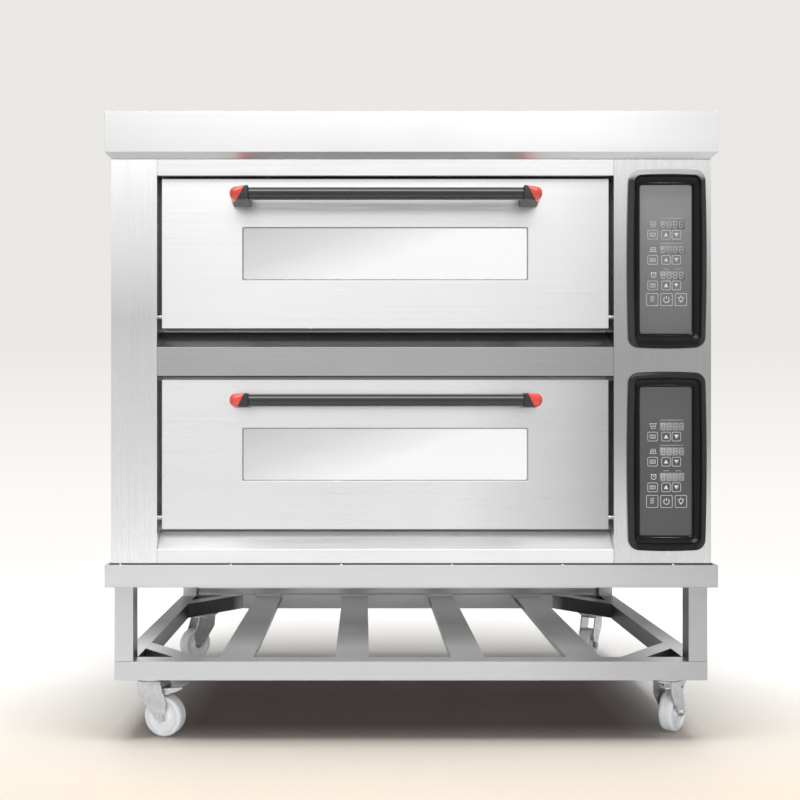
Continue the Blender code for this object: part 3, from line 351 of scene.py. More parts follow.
@dataclass(frozen=True)
class Moulding(Finish):
    """Moulded plastic: even colour with faint flow clouds, and a fine spark-eroded grain."""

    colour: Colour
    second: Colour
    polish: float = 0.4  # roughness
    coat: float = 0.0
    texture: float = 1400.0  # grains per metre
    relief: float = 0.15
    shine: float = 0.5  # the shader's specular level

    def inputs(self, graph: Graph) -> dict:
        """Two close colours clouded together, and a fine grain in the relief."""
        cloud = graph.noise((9.0, 9.0, 9.0), detail=3.0, roughness=0.5)
        fine = graph.noise((self.texture,) * 3, detail=2.0, roughness=0.5)
        return {
            "Base Color": graph.mixed(graph.between(cloud, 0.3, 0.7), self.colour, self.second),
            "Roughness": self.polish + (cloud - 0.5) * 0.14 + (fine - 0.5) * 0.06,
            "Specular IOR Level": self.shine,
            "Coat Weight": self.coat,
            "Coat Roughness": 0.08,
            "Normal": graph.bump(fine, strength=self.relief, distance=0.0002),
        }


@dataclass(frozen=True)
class GlossWithPaintedRimHighlights(Finish):
    """Gloss black moulding whose rounded rim has painted highlights on its outer sides and along its top."""

    over: float  # grey of the painted highlight along the rim's top
    beside: float  # grey of the painted highlight on the rim's outer sides
    middle: float  # place along X of the rim's middle
    top: float  # height of the rim's upper edge
    reach: float = 0.060  # below the upper edge, of the painted top highlight
    full: float = 0.026  # below the upper edge, where the painted top highlight starts to fade

    def inputs(self, graph: Graph) -> dict:
        """Black, mixed to the two greys of painted highlight by where the faces look; noise clouds the polish."""
        cloud = graph.noise((9.0, 9.0, 9.0), detail=3.0, roughness=0.5)
        # painted highlights: on faces that look outwards at the sides, and on faces that look up near the top
        outer = graph.between(graph.facing(X) * (graph.axis(X) - self.middle), 0.004, 0.016)
        rising = graph.between(graph.facing(Z), 0.04, 0.22)
        painted_top_highlight = rising * graph.between(graph.axis(Z), self.top - self.reach, self.top - self.full)
        colour = graph.mixed(graph.between(cloud, 0.3, 0.7), grey(0.004), grey(0.007))
        colour = graph.mixed(outer, colour, grey(self.beside))
        return {
            "Base Color": graph.mixed(painted_top_highlight, colour, grey(self.over)),
            "Roughness": 0.14 + (cloud - 0.5) * 0.10,
            "Specular IOR Level": 0.16,
            "Coat Weight": 0.05,
        }


@dataclass(frozen=True)
class MirrorGlass(Finish):
    """Metal-coated oven glass: a mirror with a painted reflection, a little dimmer to the upper left, and faint wipe
    marks.
    """

    left: float
    right: float
    low: float
    high: float

    def inputs(self, graph: Graph) -> dict:
        """The tone climbs along the pane's falling diagonal as painted reflection; wide soft noise wipes the polish."""
        along = graph.between(graph.axis(X), self.left, self.right)
        up = graph.between(graph.axis(Z), self.low, self.high)
        painted_reflection = along * 0.62 + (1 - up) * 0.38
        wipe = graph.noise((5.0, 5.0, 14.0), detail=4.0, roughness=0.55)
        stops = [(0.0, grey(0.58)), (0.30, grey(0.74)), (0.55, grey(0.98)), (1.0, grey(1.0))]
        return {
            "Base Color": graph.ramp(painted_reflection + (wipe - 0.5) * 0.10, stops),
            "Metallic": 0.9,
            "Roughness": 0.10 + (wipe - 0.5) * 0.10,
            "Coat Weight": 0.5,
            "Coat Roughness": 0.03,
        }


@dataclass(frozen=True)
class KeypadFilm(Finish):
    """Grey membrane film with painted light that makes it paler towards its top, and a fine matt grain."""

    low: float
    high: float
    greys: tuple[float, float, float]  # at the foot, about half way up and at the top, rising as painted light

    def inputs(self, graph: Graph) -> dict:
        """The colour climbs with the height as painted light; wide noise clouds it, and fine noise is the grain."""
        rise = graph.between(graph.axis(Z), self.low, self.high)
        cloud = graph.noise((12.0, 12.0, 7.0), detail=3.0, roughness=0.5)
        fine = graph.noise((900.0,) * 3, detail=2.0, roughness=0.5)
        stops = [(at, grey(level)) for at, level in zip((0.0, 0.55, 1.0), self.greys)]
        return {
            "Base Color": graph.ramp(rise + (cloud - 0.5) * 0.25, stops),
            "Roughness": 0.34 + (cloud - 0.5) * 0.12,
            "Normal": graph.bump(fine, strength=0.15, distance=0.0002),
        }


@dataclass(frozen=True)
class Wool(Finish):
    """Mineral wool: yellow-brown fibres, matted in layers."""

    def inputs(self, graph: Graph) -> dict:
        """Fine fibre noise, and layers squeezed along Z."""
        layers = graph.noise((12.0, 12.0, 220.0), detail=5.0, roughness=0.7)
        fibre = graph.noise((420.0, 420.0, 420.0), detail=3.0, roughness=0.7)
        both = layers * 0.5 + fibre * 0.5
        return {
            "Base Color": graph.mixed(graph.between(both, 0.3, 0.7), (0.22, 0.17, 0.08), (0.52, 0.45, 0.27)),
            "Roughness": 0.95 - fibre * 0.1,
            "Normal": graph.bump(both, strength=0.7, distance=0.002),
        }


class Palette:
    """Every material of the oven, made once."""

    # Shares of the steels' tone by place are painted shade and painted reflection: darker where a sheet shows shade or
    # mirrors something dark, and the lower door's copy darker to the right than the upper's.
    CAP_PAINTED_SHADE_X: Row = ((-0.62, 0.84), (0.05, 0.86), (0.45, 1.0), (0.62, 1.0))
    POST_PAINTED_SHADE_Z: Row = ((0.37, 1.0), (0.60, 0.80), (0.86, 0.62), (1.02, 0.80), (1.19, 0.90))
    COLUMN_PAINTED_SHADE_Z: Row = ((0.37, 1.0), (0.48, 0.92), (0.62, 0.58), (0.78, 0.50), (0.95, 0.60), (1.19, 1.0))
    SILL_PAINTED_SHADE_X: Row = ((-0.51, 1.0), (0.15, 1.0), (0.41, 0.80))
    DOOR_PAINTED_SHADE_X: dict[str, Row] = {
        "lower": ((-0.51, 1.0), (0.10, 1.0), (0.30, 0.76), (0.41, 0.56)),
        "upper": ((-0.51, 1.0), (0.10, 1.0), (0.30, 0.92), (0.41, 0.82)),
    }
    STAND_PAINTED_SHADE_X: Row = ((-0.62, 1.0), (0.20, 0.97), (0.45, 0.80), (0.62, 0.72))
    LEG_PAINTED_SHADE_Z: Row = ((0.12, 0.84), (0.31, 0.84), (0.33, 1.0), (0.37, 1.0))
    SHELF_PAINTED_SHADE_Y: Row = (
        (-0.40, 1.0),
        (-0.25, 1.0),
        (-0.12, 0.42),
        (0.0, 0.16),
        (0.25, 0.14),
        (0.34, 0.20),
        (0.36, 0.9),
        (0.41, 0.9),
    )
    RIM_PAINTED_HIGHLIGHT_GREYS = {"lower": (0.02, 0.03), "upper": (0.50, 0.045)}  # painted highlights: along the top, and of the outer sides; the lower deck's copy nearly black
    # the films' greys at the foot, half way up and the top: painted light that grows upwards, and the lower deck's copy
    # painted in shade
    FILM_GREYS_WITH_PAINTED_LIGHT = {"lower": (0.072, 0.085, 0.125), "upper": (0.155, 0.230, 0.370)}

    def __init__(self) -> None:
        """Makes the materials."""
        self._make_sheets()
        self._make_stand_steels()
        self._make_metals()
        self._make_mouldings()
        self.bezels, self.films, self.panes = {}, {}, {}
        for deck in DECKS:
            self._make_deck(deck)

    def _make_sheets(self) -> None:
        """The steels of the body's sheets: one brushed stainless whose tone and shares differ from sheet to sheet as
        painted light and shade.
        """
        self.shell = BrushedSteel("shell_steel", tone=0.69).make()
        self.cap = BrushedSteel("cap_steel", tone=0.61, polish=0.40, widths=self.CAP_PAINTED_SHADE_X, under=0.92).make()
        self.post = BrushedSteel("post_steel", Grain.UPRIGHT, 0.90, 0.28, heights=self.POST_PAINTED_SHADE_Z).make()
        self.column = BrushedSteel("column_steel", Grain.UPRIGHT, 0.70, 0.27, heights=self.COLUMN_PAINTED_SHADE_Z).make()
        self.head = BrushedSteel("head_steel", tone=0.76, polish=0.26, under=0.4).make()
        self.side = BrushedSteel("side_steel", Grain.DEEP, tone=0.66, polish=0.32).make()
        self.doors = {
            deck: BrushedSteel(f"{deck}_door_steel", tone=0.81, widths=row).make()
            for deck, row in self.DOOR_PAINTED_SHADE_X.items()
        }
        # painted shade and dark reflection on the sill's slope and underside, and towards its right end
        sill = {"widths": self.SILL_PAINTED_SHADE_X, "over": 0.30, "under": 0.4}
        self.sill = BrushedSteel("sill_steel", tone=0.42, polish=0.26, **sill).make()
        self.base = BrushedSteel("base_steel", tone=0.84, polish=0.34, over=0.76, under=0.4).make()
        self.pan = BrushedSteel("pan_steel", Grain.DEEP, tone=0.60, polish=0.40).make()
        self.liner = BrushedSteel("liner_steel", Grain.DEEP, tone=0.50, polish=0.38).make()

    def _make_stand_steels(self) -> None:
        """The steels of the ring with its legs and of the shelf, with painted shade on the legs, the inner faces, the
        undersides and the shelf's rear.
        """
        ring = {"heights": self.LEG_PAINTED_SHADE_Z, "inward": 0.40, "over": 0.86, "under": 0.35}
        shelf = {"depths": self.SHELF_PAINTED_SHADE_Y, "inward": 0.55, "ahead": 0.56, "under": 0.30}
        stand = {"polish": 0.36, "widths": self.STAND_PAINTED_SHADE_X}
        self.ring = BrushedSteel("ring_steel", tone=0.655, **stand, **ring).make()
        self.shelf = BrushedSteel("shelf_steel", tone=0.97, **stand, **shelf).make()

    def _make_metals(self) -> None:
        """Plated parts, hearths, elements, and the wool behind them."""
        self.zinc = PlainMetal("zinc_plate", grey(0.56), grey(0.42), polish=0.34).make()
        self.bolt = PlainMetal("bolt_zinc", grey(0.74), grey(0.54), polish=0.24, mottle=140).make()
        iron = {"polish": 0.55, "metallic": 0.9, "mottle": 22}
        self.hearth = PlainMetal("hearth_plate", (0.20, 0.19, 0.18), (0.10, 0.09, 0.085), **iron).make()
        oxide = {"polish": 0.5, "metallic": 0.8, "mottle": 90}
        self.element = PlainMetal("element_sheath", (0.13, 0.12, 0.11), (0.24, 0.17, 0.12), **oxide).make()
        self.wool = Wool("mineral_wool").make()

    def _make_mouldings(self) -> None:
        """Enamel, plastics, a sealant, a dark bead of painted shadow and the keypads' inks."""
        enamel = {"polish": 0.12, "coat": 0.25, "relief": 0.02, "shine": 0.42}
        self.tube = Moulding("black_enamel", grey(0.018), grey(0.022), **enamel).make()
        self.nylon = Moulding("white_nylon", (0.93, 0.94, 0.95), (0.89, 0.90, 0.91), polish=0.38, coat=0.1).make()
        self.foot = Moulding("black_moulding", grey(0.015), grey(0.022), polish=0.38).make()
        self.red = Moulding("red_moulding", (0.78, 0.045, 0.030), (0.86, 0.085, 0.040), polish=0.26, coat=0.5).make()
        self.box = Moulding("switchgear_grey", grey(0.35), grey(0.42), polish=0.45).make()
        self.bead = Moulding("pale_sealant", grey(0.34), grey(0.38), polish=0.3, coat=0.4, texture=600).make()
        # a dark bead that paints the shadow in the joint between the body and the ring
        self.shadow_bead = Moulding("painted_shadow_bead", grey(0.035), grey(0.055), polish=0.6, texture=600).make()
        self.print = Moulding("key_print", grey(0.66), grey(0.74), polish=0.5, texture=500).make()
        self.bright = Moulding("white_print", grey(0.80), grey(0.88), polish=0.5, texture=500).make()
        self.window = Moulding("display_window", grey(0.24), grey(0.28), polish=0.3, texture=500).make()
        self.figure = Moulding("display_figures", grey(0.46), grey(0.52), polish=0.5, texture=500).make()

    def _make_deck(self, deck: str) -> None:
        """A deck's bezel gloss with painted highlights, keypad film with painted light and door glass with painted
        reflection, each graded over its own node.
        """
        low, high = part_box(f"{deck}_control_bezel")
        middle = (low.x + high.x) / 2
        self.bezels[deck] = GlossWithPaintedRimHighlights(f"{deck}_black_gloss", *self.RIM_PAINTED_HIGHLIGHT_GREYS[deck], middle, high.z).make()
        low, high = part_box(f"{deck}_keypad")
        self.films[deck] = KeypadFilm(f"{deck}_keypad_film", low.z, high.z, self.FILM_GREYS_WITH_PAINTED_LIGHT[deck]).make()
        low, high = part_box(f"{deck}_window_glass")
        self.panes[deck] = MirrorGlass(f"{deck}_mirror_glass", low.x, high.x, low.z, high.z).make()


# ---- meshes ------------------------------------------------------------------------------------
def grid_faces(rows: int, columns: int, close_rows: bool, close_columns: bool) -> np.ndarray:
    """The four corners of each cell of a grid whose points are numbered row by row.

    Args:
        rows: points in the first direction.
        columns: points in the second direction.
        close_rows: the last row joins the first.
        close_columns: the last column joins the first.

    Returns:
        One row of four point numbers for each cell.
    """
    first = np.arange(rows if close_rows else rows - 1)[:, None]
    second = np.arange(columns if close_columns else columns - 1)[None, :]
    below, beside = (first + 1) % rows, (second + 1) % columns
    cells = (first * columns + second, first * columns + beside, below * columns + beside, below * columns + second)
    return np.stack(cells, axis=-1).reshape(-1, 4)


def gathered(shapes: list[Shape]) -> Shape:
    """Several shapes as one: their points in one array, and their faces renumbered to suit."""
    points, faces, count = [], [], 0
    for made, cells in shapes:
        points.append(made)
        faces += (np.asarray(cells) + count).tolist()
        count += len(made)
    return np.concatenate(points), faces


def turned(profile: list[Flat], start: Point, along: Point, steps: int) -> Shape:
    """A closed profile turned about an axis.

    Each profile point (radius, height) goes round a circle of that radius, at that height along the axis.

    Args:
        profile: (radius, height) pairs in metres, once round the section.
        start: the point of the axis at height 0.
        along: the axis's direction, of length 1.
        steps: points round the circle.

    Returns:
        The points and the faces.
    """
    radius, height = np.array(profile, float).T
    axis = np.array(along, float)
    aside = np.cross(axis, (0.0, 0.0, 1.0) if abs(axis[2]) < 0.9 else (1.0, 0.0, 0.0))
    aside = aside / np.linalg.norm(aside)
    across = np.cross(axis, aside)
    turn = np.linspace(0, 2 * math.pi, steps, endpoint=False)
    outward = np.cos(turn)[:, None] * aside + np.sin(turn)[:, None] * across
    points = np.array(start) + radius[None, :, None] * outward[:, None, :] + height[None, :, None] * axis
    return points.reshape(-1, 3), grid_faces(steps, len(profile), True, True).tolist()


def lofted(loops: list[np.ndarray] | np.ndarray, filled: bool = False) -> Shape:
    """A skin that runs from loop to loop.

    Args:
        loops: one array of points for each loop, all of the same length.
        filled: the first and the last loop are filled; otherwise they are joined.

    Returns:
        The points and the faces.
    """
    points = np.stack(loops)
    rows, count = points.shape[:2]
    faces = grid_faces(rows, count, not filled, True).tolist()
    if filled:
        faces += [list(range(count)), list(range((rows - 1) * count, rows * count))]
    return points.reshape(-1, 3), faces


def rounded_outline(half: np.ndarray, corner: float, bow: float = 0.0, arc: int = 7, side: int = 16) -> np.ndarray:
    """A rounded rectangle whose sides may bow out.

    Arcs stand in the four corners, straight runs join them, and each side moves out by bow times
    one less the square of how far along it a point lies from its middle.

    Args:
        half: half the width and half the height.
        corner: the corners' radius.
        bow: how far the sides' middles stand out.
        arc: points on each corner.
        side: points on each side.

    Returns:
        One row of two coordinates for each point, anticlockwise.
    """
    turn = np.linspace(0, math.pi / 2, arc)
    centre = half - corner
    runs = []
    for quarter, signs in enumerate(((1, 1), (-1, 1), (-1, -1), (1, -1))):
        angle = turn + quarter * math.pi / 2
        runs.append(signs * centre + corner * np.column_stack((np.cos(angle), np.sin(angle))))
    share = np.linspace(0, 1, side + 2)[1:-1, None]
    loop = []
    for here, there in zip(runs, runs[1:] + runs[:1]):
        loop += [here, here[-1] + (there[0] - here[-1]) * share]
    flat = np.concatenate(loop)
    out = np.sign(flat) * bow * np.clip(1 - (flat[:, ::-1] / half[::-1]) ** 2, 0, 1)
    return flat + out


def upright(flat: np.ndarray, depth: float) -> np.ndarray:
    """Points of X and Z as points in space, all at one depth along Y."""
    return np.column_stack((flat[:, 0], np.full(len(flat), depth), flat[:, 1]))


def front_of(node: str) -> tuple[np.ndarray, np.ndarray]:
    """Half the width and height of a node's box, and its middle, along X and Z."""
    low, high = (np.array((corner.x, corner.z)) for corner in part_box(node))
    return (high - low) / 2, (low + high) / 2


def rounded_block(low: np.ndarray, high: np.ndarray, way: int, radius: float, ease: float) -> Shape:
    """A block whose two outer front corners have a large radius and whose other edges a small one.

    Every direction from the middle gives a point: the block's corner in that octant, drawn in by
    that octant's radius, plus the radius times the direction.

    Args:
        low: the block's lowest corner.
        high: its highest corner.
        way: the sign of X at the outer end.
        radius: of the two corners at the front of the outer end.
        ease: of the others.

    Returns:
        The points and the faces.
    """
    quarter = np.linspace(0.001, math.pi / 2 - 0.001, 9)
    around = np.concatenate([quarter + i * math.pi / 2 for i in range(4)])
    lift, turn = np.meshgrid(np.concatenate((-quarter[::-1], quarter)), around, indexing="ij")
    aim = np.stack((np.cos(lift) * np.cos(turn), np.cos(lift) * np.sin(turn), np.sin(lift)), axis=-1)
    sign = np.sign(aim)
    outside = (sign[..., 0] == way) & (sign[..., 1] < 0)
    size = np.where(outside, radius, ease)[..., None]
    return lofted((high + low) / 2 + sign * ((high - low) / 2 - size) + size * aim, True)


def dressed(name: str, mesh: bpy.types.Mesh, finish: bpy.types.Material) -> bpy.types.Object:
    """A mesh as an object in the scene, shaded smooth but for its sharp edges."""
    mesh.shade_smooth()
    mesh.set_sharp_from_angle(angle=SMOOTH_ANGLE)
    mesh.materials.append(finish)
    made = bpy.data.objects.new(name, mesh)
    bpy.context.scene.collection.objects.link(made)
    return made


def new_piece(name: str, shape: Shape, finish: bpy.types.Material) -> bpy.types.Object:
    """An object at the origin, with its doubles merged and its faces outwards.

    Args:
        name: the piece's name.
        shape: its points and faces.
        finish: its material.

    Returns:
        The object.
    """
    mesh = bpy.data.meshes.new(name)
    mesh.from_pydata(shape[0], [], shape[1])
    bm = bmesh.new()
    bm.from_mesh(mesh)
    bmesh.ops.remove_doubles(bm, verts=bm.verts, dist=1e-6)
    bmesh.ops.dissolve_degenerate(bm, dist=1e-7, edges=bm.edges)
    bmesh.ops.recalc_face_normals(bm, faces=bm.faces)
    bm.to_mesh(mesh)
    bm.free()
    return dressed(name, mesh, finish)


def settle(piece: bpy.types.Object, body: str, slot: str, *nodes: str) -> bpy.types.Object:
    """Rides a piece on its body, hides the nodes that it stands for, and reports it."""
    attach(piece, body)
    if nodes:
        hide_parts(*nodes)
    LOG.info("%s rides on %s with %d faces", piece.name, body, len(piece.data.polygons))
    return piece


def node_points(node: str) -> np.ndarray:
    """The points of a CAD node's mesh, one row of X, Y, Z each."""
    source = frame["nodes"][node].data
    points = np.empty(len(source.vertices) * 3, np.float32)
    source.vertices.foreach_get("co", points)
    return points.reshape(-1, 3)


def merged_copy(node: str) -> bmesh.types.BMesh:
    """A CAD node's solid with its triangles joined and its flat faces made whole."""
    source = frame["nodes"][node].data
    corners = np.empty(len(source.loops), np.int32)
    source.loops.foreach_get("vertex_index", corners)
    merged, index = np.unique(np.round(node_points(node), 6), axis=0, return_inverse=True)
    faces = index.reshape(-1)[corners].reshape(-1, 3)
    whole = (faces[:, 0] != faces[:, 1]) & (faces[:, 1] != faces[:, 2]) & (faces[:, 0] != faces[:, 2])
    mesh = bpy.data.meshes.new(f"{node}_joined")
    mesh.from_pydata(merged.tolist(), [], faces[whole].tolist())
    bm = bmesh.new()
    bm.from_mesh(mesh)
    bpy.data.meshes.remove(mesh)
    bmesh.ops.dissolve_limit(bm, angle_limit=math.radians(0.3), verts=bm.verts, edges=bm.edges)
    return bm


def refined(node: str, finish: bpy.types.Material, ease: float = 0.0) -> None:
    """Puts a joined copy of a CAD node in its stead, with smooth curves and eased edges.

    Args:
        node: the CAD node.
        finish: its material.
        ease: the radius of its edges, or 0 for none.
    """
    bm = merged_copy(node)
    mesh = bpy.data.meshes.new(f"{node}_piece")
    bm.to_mesh(mesh)
    bm.free()
    piece = dressed(f"{node}_piece", mesh, finish)
    if ease:
        bevel = piece.modifiers.new("eased_edges", "BEVEL")
        bevel.width = ease
        bevel.segments = 2
        bevel.limit_method = "ANGLE"
        bevel.angle_limit = SMOOTH_ANGLE
        bevel.harden_normals = True
        bevel.miter_outer = "MITER_SHARP"
    settle(piece, body_of(frame["nodes"][node])[0], SLOTS[node], node)


@dataclass(frozen=True)
class Head:
    """The domed head of a small screw or stud."""

    radius: float
    rise: float  # above its seat
    sides: int = 14

    def row(self, name: str, places: list[Point], out: Point, finish: bpy.types.Material, body: str) -> None:
        """Builds heads as one piece, each a quarter-circle profile turned about its own axis.

        Args:
            name: the piece's name.
            places: the heads' seats.
            out: the direction in which they stand.
            finish: their material.
            body: the body that they ride on.
        """
        bend = np.linspace(0, math.pi / 2, 5)
        dome = zip(self.radius * np.cos(bend), self.rise * (0.2 + 0.8 * np.sin(bend)))
        points, faces = turned([(0.0, 0.0), (self.radius, 0.0), *dome], (0, 0, 0), out, self.sides)
        shape = gathered([(points + place, faces) for place in places])
        settle(new_piece(name, shape, finish), body, "zinc")


# ---- the body ----------------------------------------------------------------------------------
@dataclass
class Shell:
    """The outer sheets, the back with its gland, and what is inside the control column."""

    sheet_ease: float = 0.0005
    screw: Head = Head(0.0042, 0.0016)
    screw_pitch: float = 0.19
    screw_inset: float = 0.012

    def build(self, palette: Palette) -> None:
        """Dresses the sheets and adds the screws that hold the side and back panels."""
        finishes = {
            "top_cap": palette.cap,
            "left_post": palette.post,
            "control_column": palette.column,
            "top_fascia": palette.head,
            "mid_fascia": palette.sill,
            "base_fascia": palette.base,
            "left_side_panel": palette.side,
            "right_side_panel": palette.side,
            "back_panel": palette.shell,
            "base_pan": palette.pan,
            "lower_vent_panel": palette.side,
            "upper_vent_panel": palette.side,
            "switchgear_panel": palette.box,
            "cable_gland": palette.foot,
        }
        for node, finish in finishes.items():
            refined(node, finish, self.sheet_ease)
        self._back_screws(palette)
        self._side_screws(palette)

    def _back_screws(self, palette: Palette) -> None:
        """Screw heads in a row up each edge of the back panel."""
        low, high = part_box("back_panel")
        inset = self.screw_inset
        count = round((high.z - low.z - 2 * inset) / self.screw_pitch) + 1
        rise = np.linspace(low.z + 2 * inset, high.z - 2 * inset, count)
        places = [(x, high.y, z) for x in (low.x + inset, high.x - inset) for z in rise]
        self.screw.row("back_screws", places, (0, 1, 0), palette.bolt, "root")

    def _side_screws(self, palette: Palette) -> None:
        """Screw heads along the lower and upper edges of the side panels."""
        for side, out in (("left", -1), ("right", 1)):
            low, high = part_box(f"{side}_side_panel")
            face = low.x if out < 0 else high.x
            inset = self.screw_inset
            depth = np.linspace(low.y + 4 * inset, high.y - 4 * inset, round((high.y - low.y) / self.screw_pitch))
            places = [(face, y, z) for z in (low.z + inset, high.z - inset) for y in depth]
            self.screw.row(f"{side}_side_screws", places, (out, 0, 0), palette.bolt, "root")


@dataclass
class Chamber:
    """One deck's baking chamber with its hearth, elements and insulation."""

    deck: str
    sheet_ease: float = 0.0005
    hearth_ease: float = 0.0006

    def build(self, palette: Palette) -> None:
        """Dresses the chamber's pieces."""
        refined(f"{self.deck}_chamber", palette.liner, self.sheet_ease)
        refined(f"{self.deck}_hearth_plate", palette.hearth, self.hearth_ease)
        refined(f"{self.deck}_insulation", palette.wool)
        for place in ("bottom", "top"):
            refined(f"{self.deck}_{place}_element", palette.element)


# ---- a door ------------------------------------------------------------------------------------
@dataclass
class Door:
    """A drop-down door with its pane, handle and the screws along its lower edge."""

    deck: str
    sheet_ease: float = 0.0007
    glass_ease: float = 0.0008
    glass_margin: float = 0.012  # of the pane behind the skin
    bead: float = 0.0024
    bead_corner: float = 0.003
    bead_sink: float = 0.0004  # below the skin's face
    end_radius: float = 0.0132  # of the handle ends' outer front corners
    end_ease: float = 0.0022  # of their other edges
    cap_top: float = 0.031  # of the cap along the top, from the outer end
    cap_toe: float = 0.017
    cap_lean: float = 0.35  # that the cap narrows by, for its depth
    cap_depth: float = 0.040
    socket: float = 0.012
    bar_wall: float = 0.0015
    bar_sides: int = 64
    screw: Head = Head(0.0036, 0.0016)
    screw_count: int = 5
    screw_inset: float = 0.153  # from the skin's left edge to the first screw
    screw_pitch: float = 0.151

    @property
    def body(self) -> str:
        """The body that the door's pieces ride on."""
        return f"{self.deck}_door"

    def build(self, palette: Palette) -> None:
        """Builds and dresses the door's pieces."""
        refined(f"{self.deck}_door_skin", palette.doors[self.deck], self.sheet_ease)
        refined(f"{self.deck}_door_liner", palette.liner, self.sheet_ease)
        refined(f"{self.deck}_window_glass", palette.panes[self.deck], self.glass_ease)
        self._bar(palette)
        self._bead(palette)
        self._ends(palette)
        self._screws(palette)

    def _bar(self, palette: Palette) -> None:
        """The handle tube: a section with a wall and rounded ends, turned about a line along X."""
        low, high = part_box(f"{self.deck}_handle_bar")
        radius = (high.z - low.z) / 2
        inner, turn_in = radius - self.bar_wall, self.bar_wall / 3
        length = high.x - low.x - 2 * (self.socket + GAP)
        profile = [
            (inner, 0.0),
            (radius - turn_in, 0.0),
            (radius, turn_in),
            (radius, length - turn_in),
            (radius - turn_in, length),
            (inner, length),
        ]
        start = (low.x + self.socket + GAP, (low.y + high.y) / 2, (low.z + high.z) / 2)
        piece = new_piece(f"{self.deck}_handle_tube", turned(profile, start, (1, 0, 0), self.bar_sides), palette.tube)
        settle(piece, self.body, "black_tube", f"{self.deck}_handle_bar")

    def _bead(self, palette: Palette) -> None:
        """The bead round the pane: a low half round carried along the opening's outline."""
        half, centre = front_of(f"{self.deck}_window_glass")
        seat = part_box(f"{self.deck}_window_glass")[0].y - GAP
        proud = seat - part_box(f"{self.deck}_door_skin")[0].y - self.bead_sink
        loops = []
        for turn in np.linspace(0, math.pi, 6):
            away = self.bead / 2 * (1 - np.cos(turn))
            flat = rounded_outline(half - self.glass_margin - GAP - away, self.bead_corner, 0, 5, 4)
            loops.append(upright(flat + centre, seat - proud * np.sin(turn)))
        settle(new_piece(f"{self.deck}_window_bead", lofted(loops), palette.bead), self.body, "black_plastic")

    def _ends(self, palette: Palette) -> None:
        """The two ends of the handle: a rounded elbow each, whose outer front part is the coloured cap.

        Two planes bound the cap: one slants outwards to the toe and to the rear, one stands upright
        at the cap's depth.
        """
        ahead = np.array((0.0, -1.0, 0.0))
        for side, way in (("left", -1), ("right", 1)):
            foot, cap = f"{self.deck}_handle_foot_{side}", f"{self.deck}_handle_cap_{side}"
            corners = np.array([[tuple(corner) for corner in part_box(node)] for node in (foot, cap)])
            low, high = corners[:, 0].min(axis=0), corners[:, 1].max(axis=0)
            outer = high[0] if way > 0 else low[0]
            top = np.array((outer - way * self.cap_top, low[1], high[2]))
            toe = np.array((outer - way * self.cap_toe, low[1], low[2]))
            across = np.cross(toe - top, (way * self.cap_lean, 1.0, 0.0))
            slant = across / np.linalg.norm(across) * way
            rear = np.array((outer, low[1] + self.cap_depth, low[2]))
            for node, sign, finish, slot in (
                (foot, -1, palette.foot, "black_plastic"),
                (cap, 1, palette.red, "red_plastic"),
            ):
                block = rounded_block(low, high, way, self.end_radius, self.end_ease)
                piece = new_piece(f"{node}_piece", block, finish)
                shift = sign * GAP / 2
                self._part(piece, [(toe + slant * shift, slant), (rear + ahead * shift, ahead)], sign > 0)
                settle(piece, self.body, slot, node)

    @staticmethod
    def _part(piece: bpy.types.Object, planes: list, within: bool) -> None:
        """Cuts a piece by two planes and closes the cut.

        Args:
            piece: the piece.
            planes: a point and a normal for each plane.
            within: keeps what both normals point to; otherwise the rest.
        """
        bm = bmesh.new()
        bm.from_mesh(piece.data)
        for point, normal in planes:
            geometry = bm.verts[:] + bm.edges[:] + bm.faces[:]
            bmesh.ops.bisect_plane(bm, geom=geometry, plane_co=point, plane_no=normal)
        sides = [(Vector(point), Vector(normal)) for point, normal in planes]
        gone = [
            face
            for face in bm.faces
            if all((face.calc_center_median() - point).dot(normal) > 0 for point, normal in sides) != within
        ]
        bmesh.ops.delete(bm, geom=gone, context="FACES")
        met = [v for v in bm.verts if all(abs((v.co - point).dot(normal)) < 1e-6 for point, normal in sides)]
        bm.edges.new(met)
        rim = [edge for edge in bm.edges if len(edge.link_faces) < 2]
        bmesh.ops.edgenet_fill(bm, edges=rim)
        bmesh.ops.recalc_face_normals(bm, faces=bm.faces)
        bm.to_mesh(piece.data)
        bm.free()
        piece.data.shade_smooth()
        piece.data.set_sharp_from_angle(angle=SMOOTH_ANGLE)

    def _screws(self, palette: Palette) -> None:
        """Small heads in a row under the door's lower edge."""
        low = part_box(f"{self.deck}_door_skin")[0]
        across = low.x + self.screw_inset + self.screw_pitch * np.arange(self.screw_count)
        places = [(x, low.y + 1.4 * self.screw.radius, low.z) for x in across]
        self.screw.row(f"{self.deck}_door_screws", places, (0, 0, -1), palette.bolt, self.body)


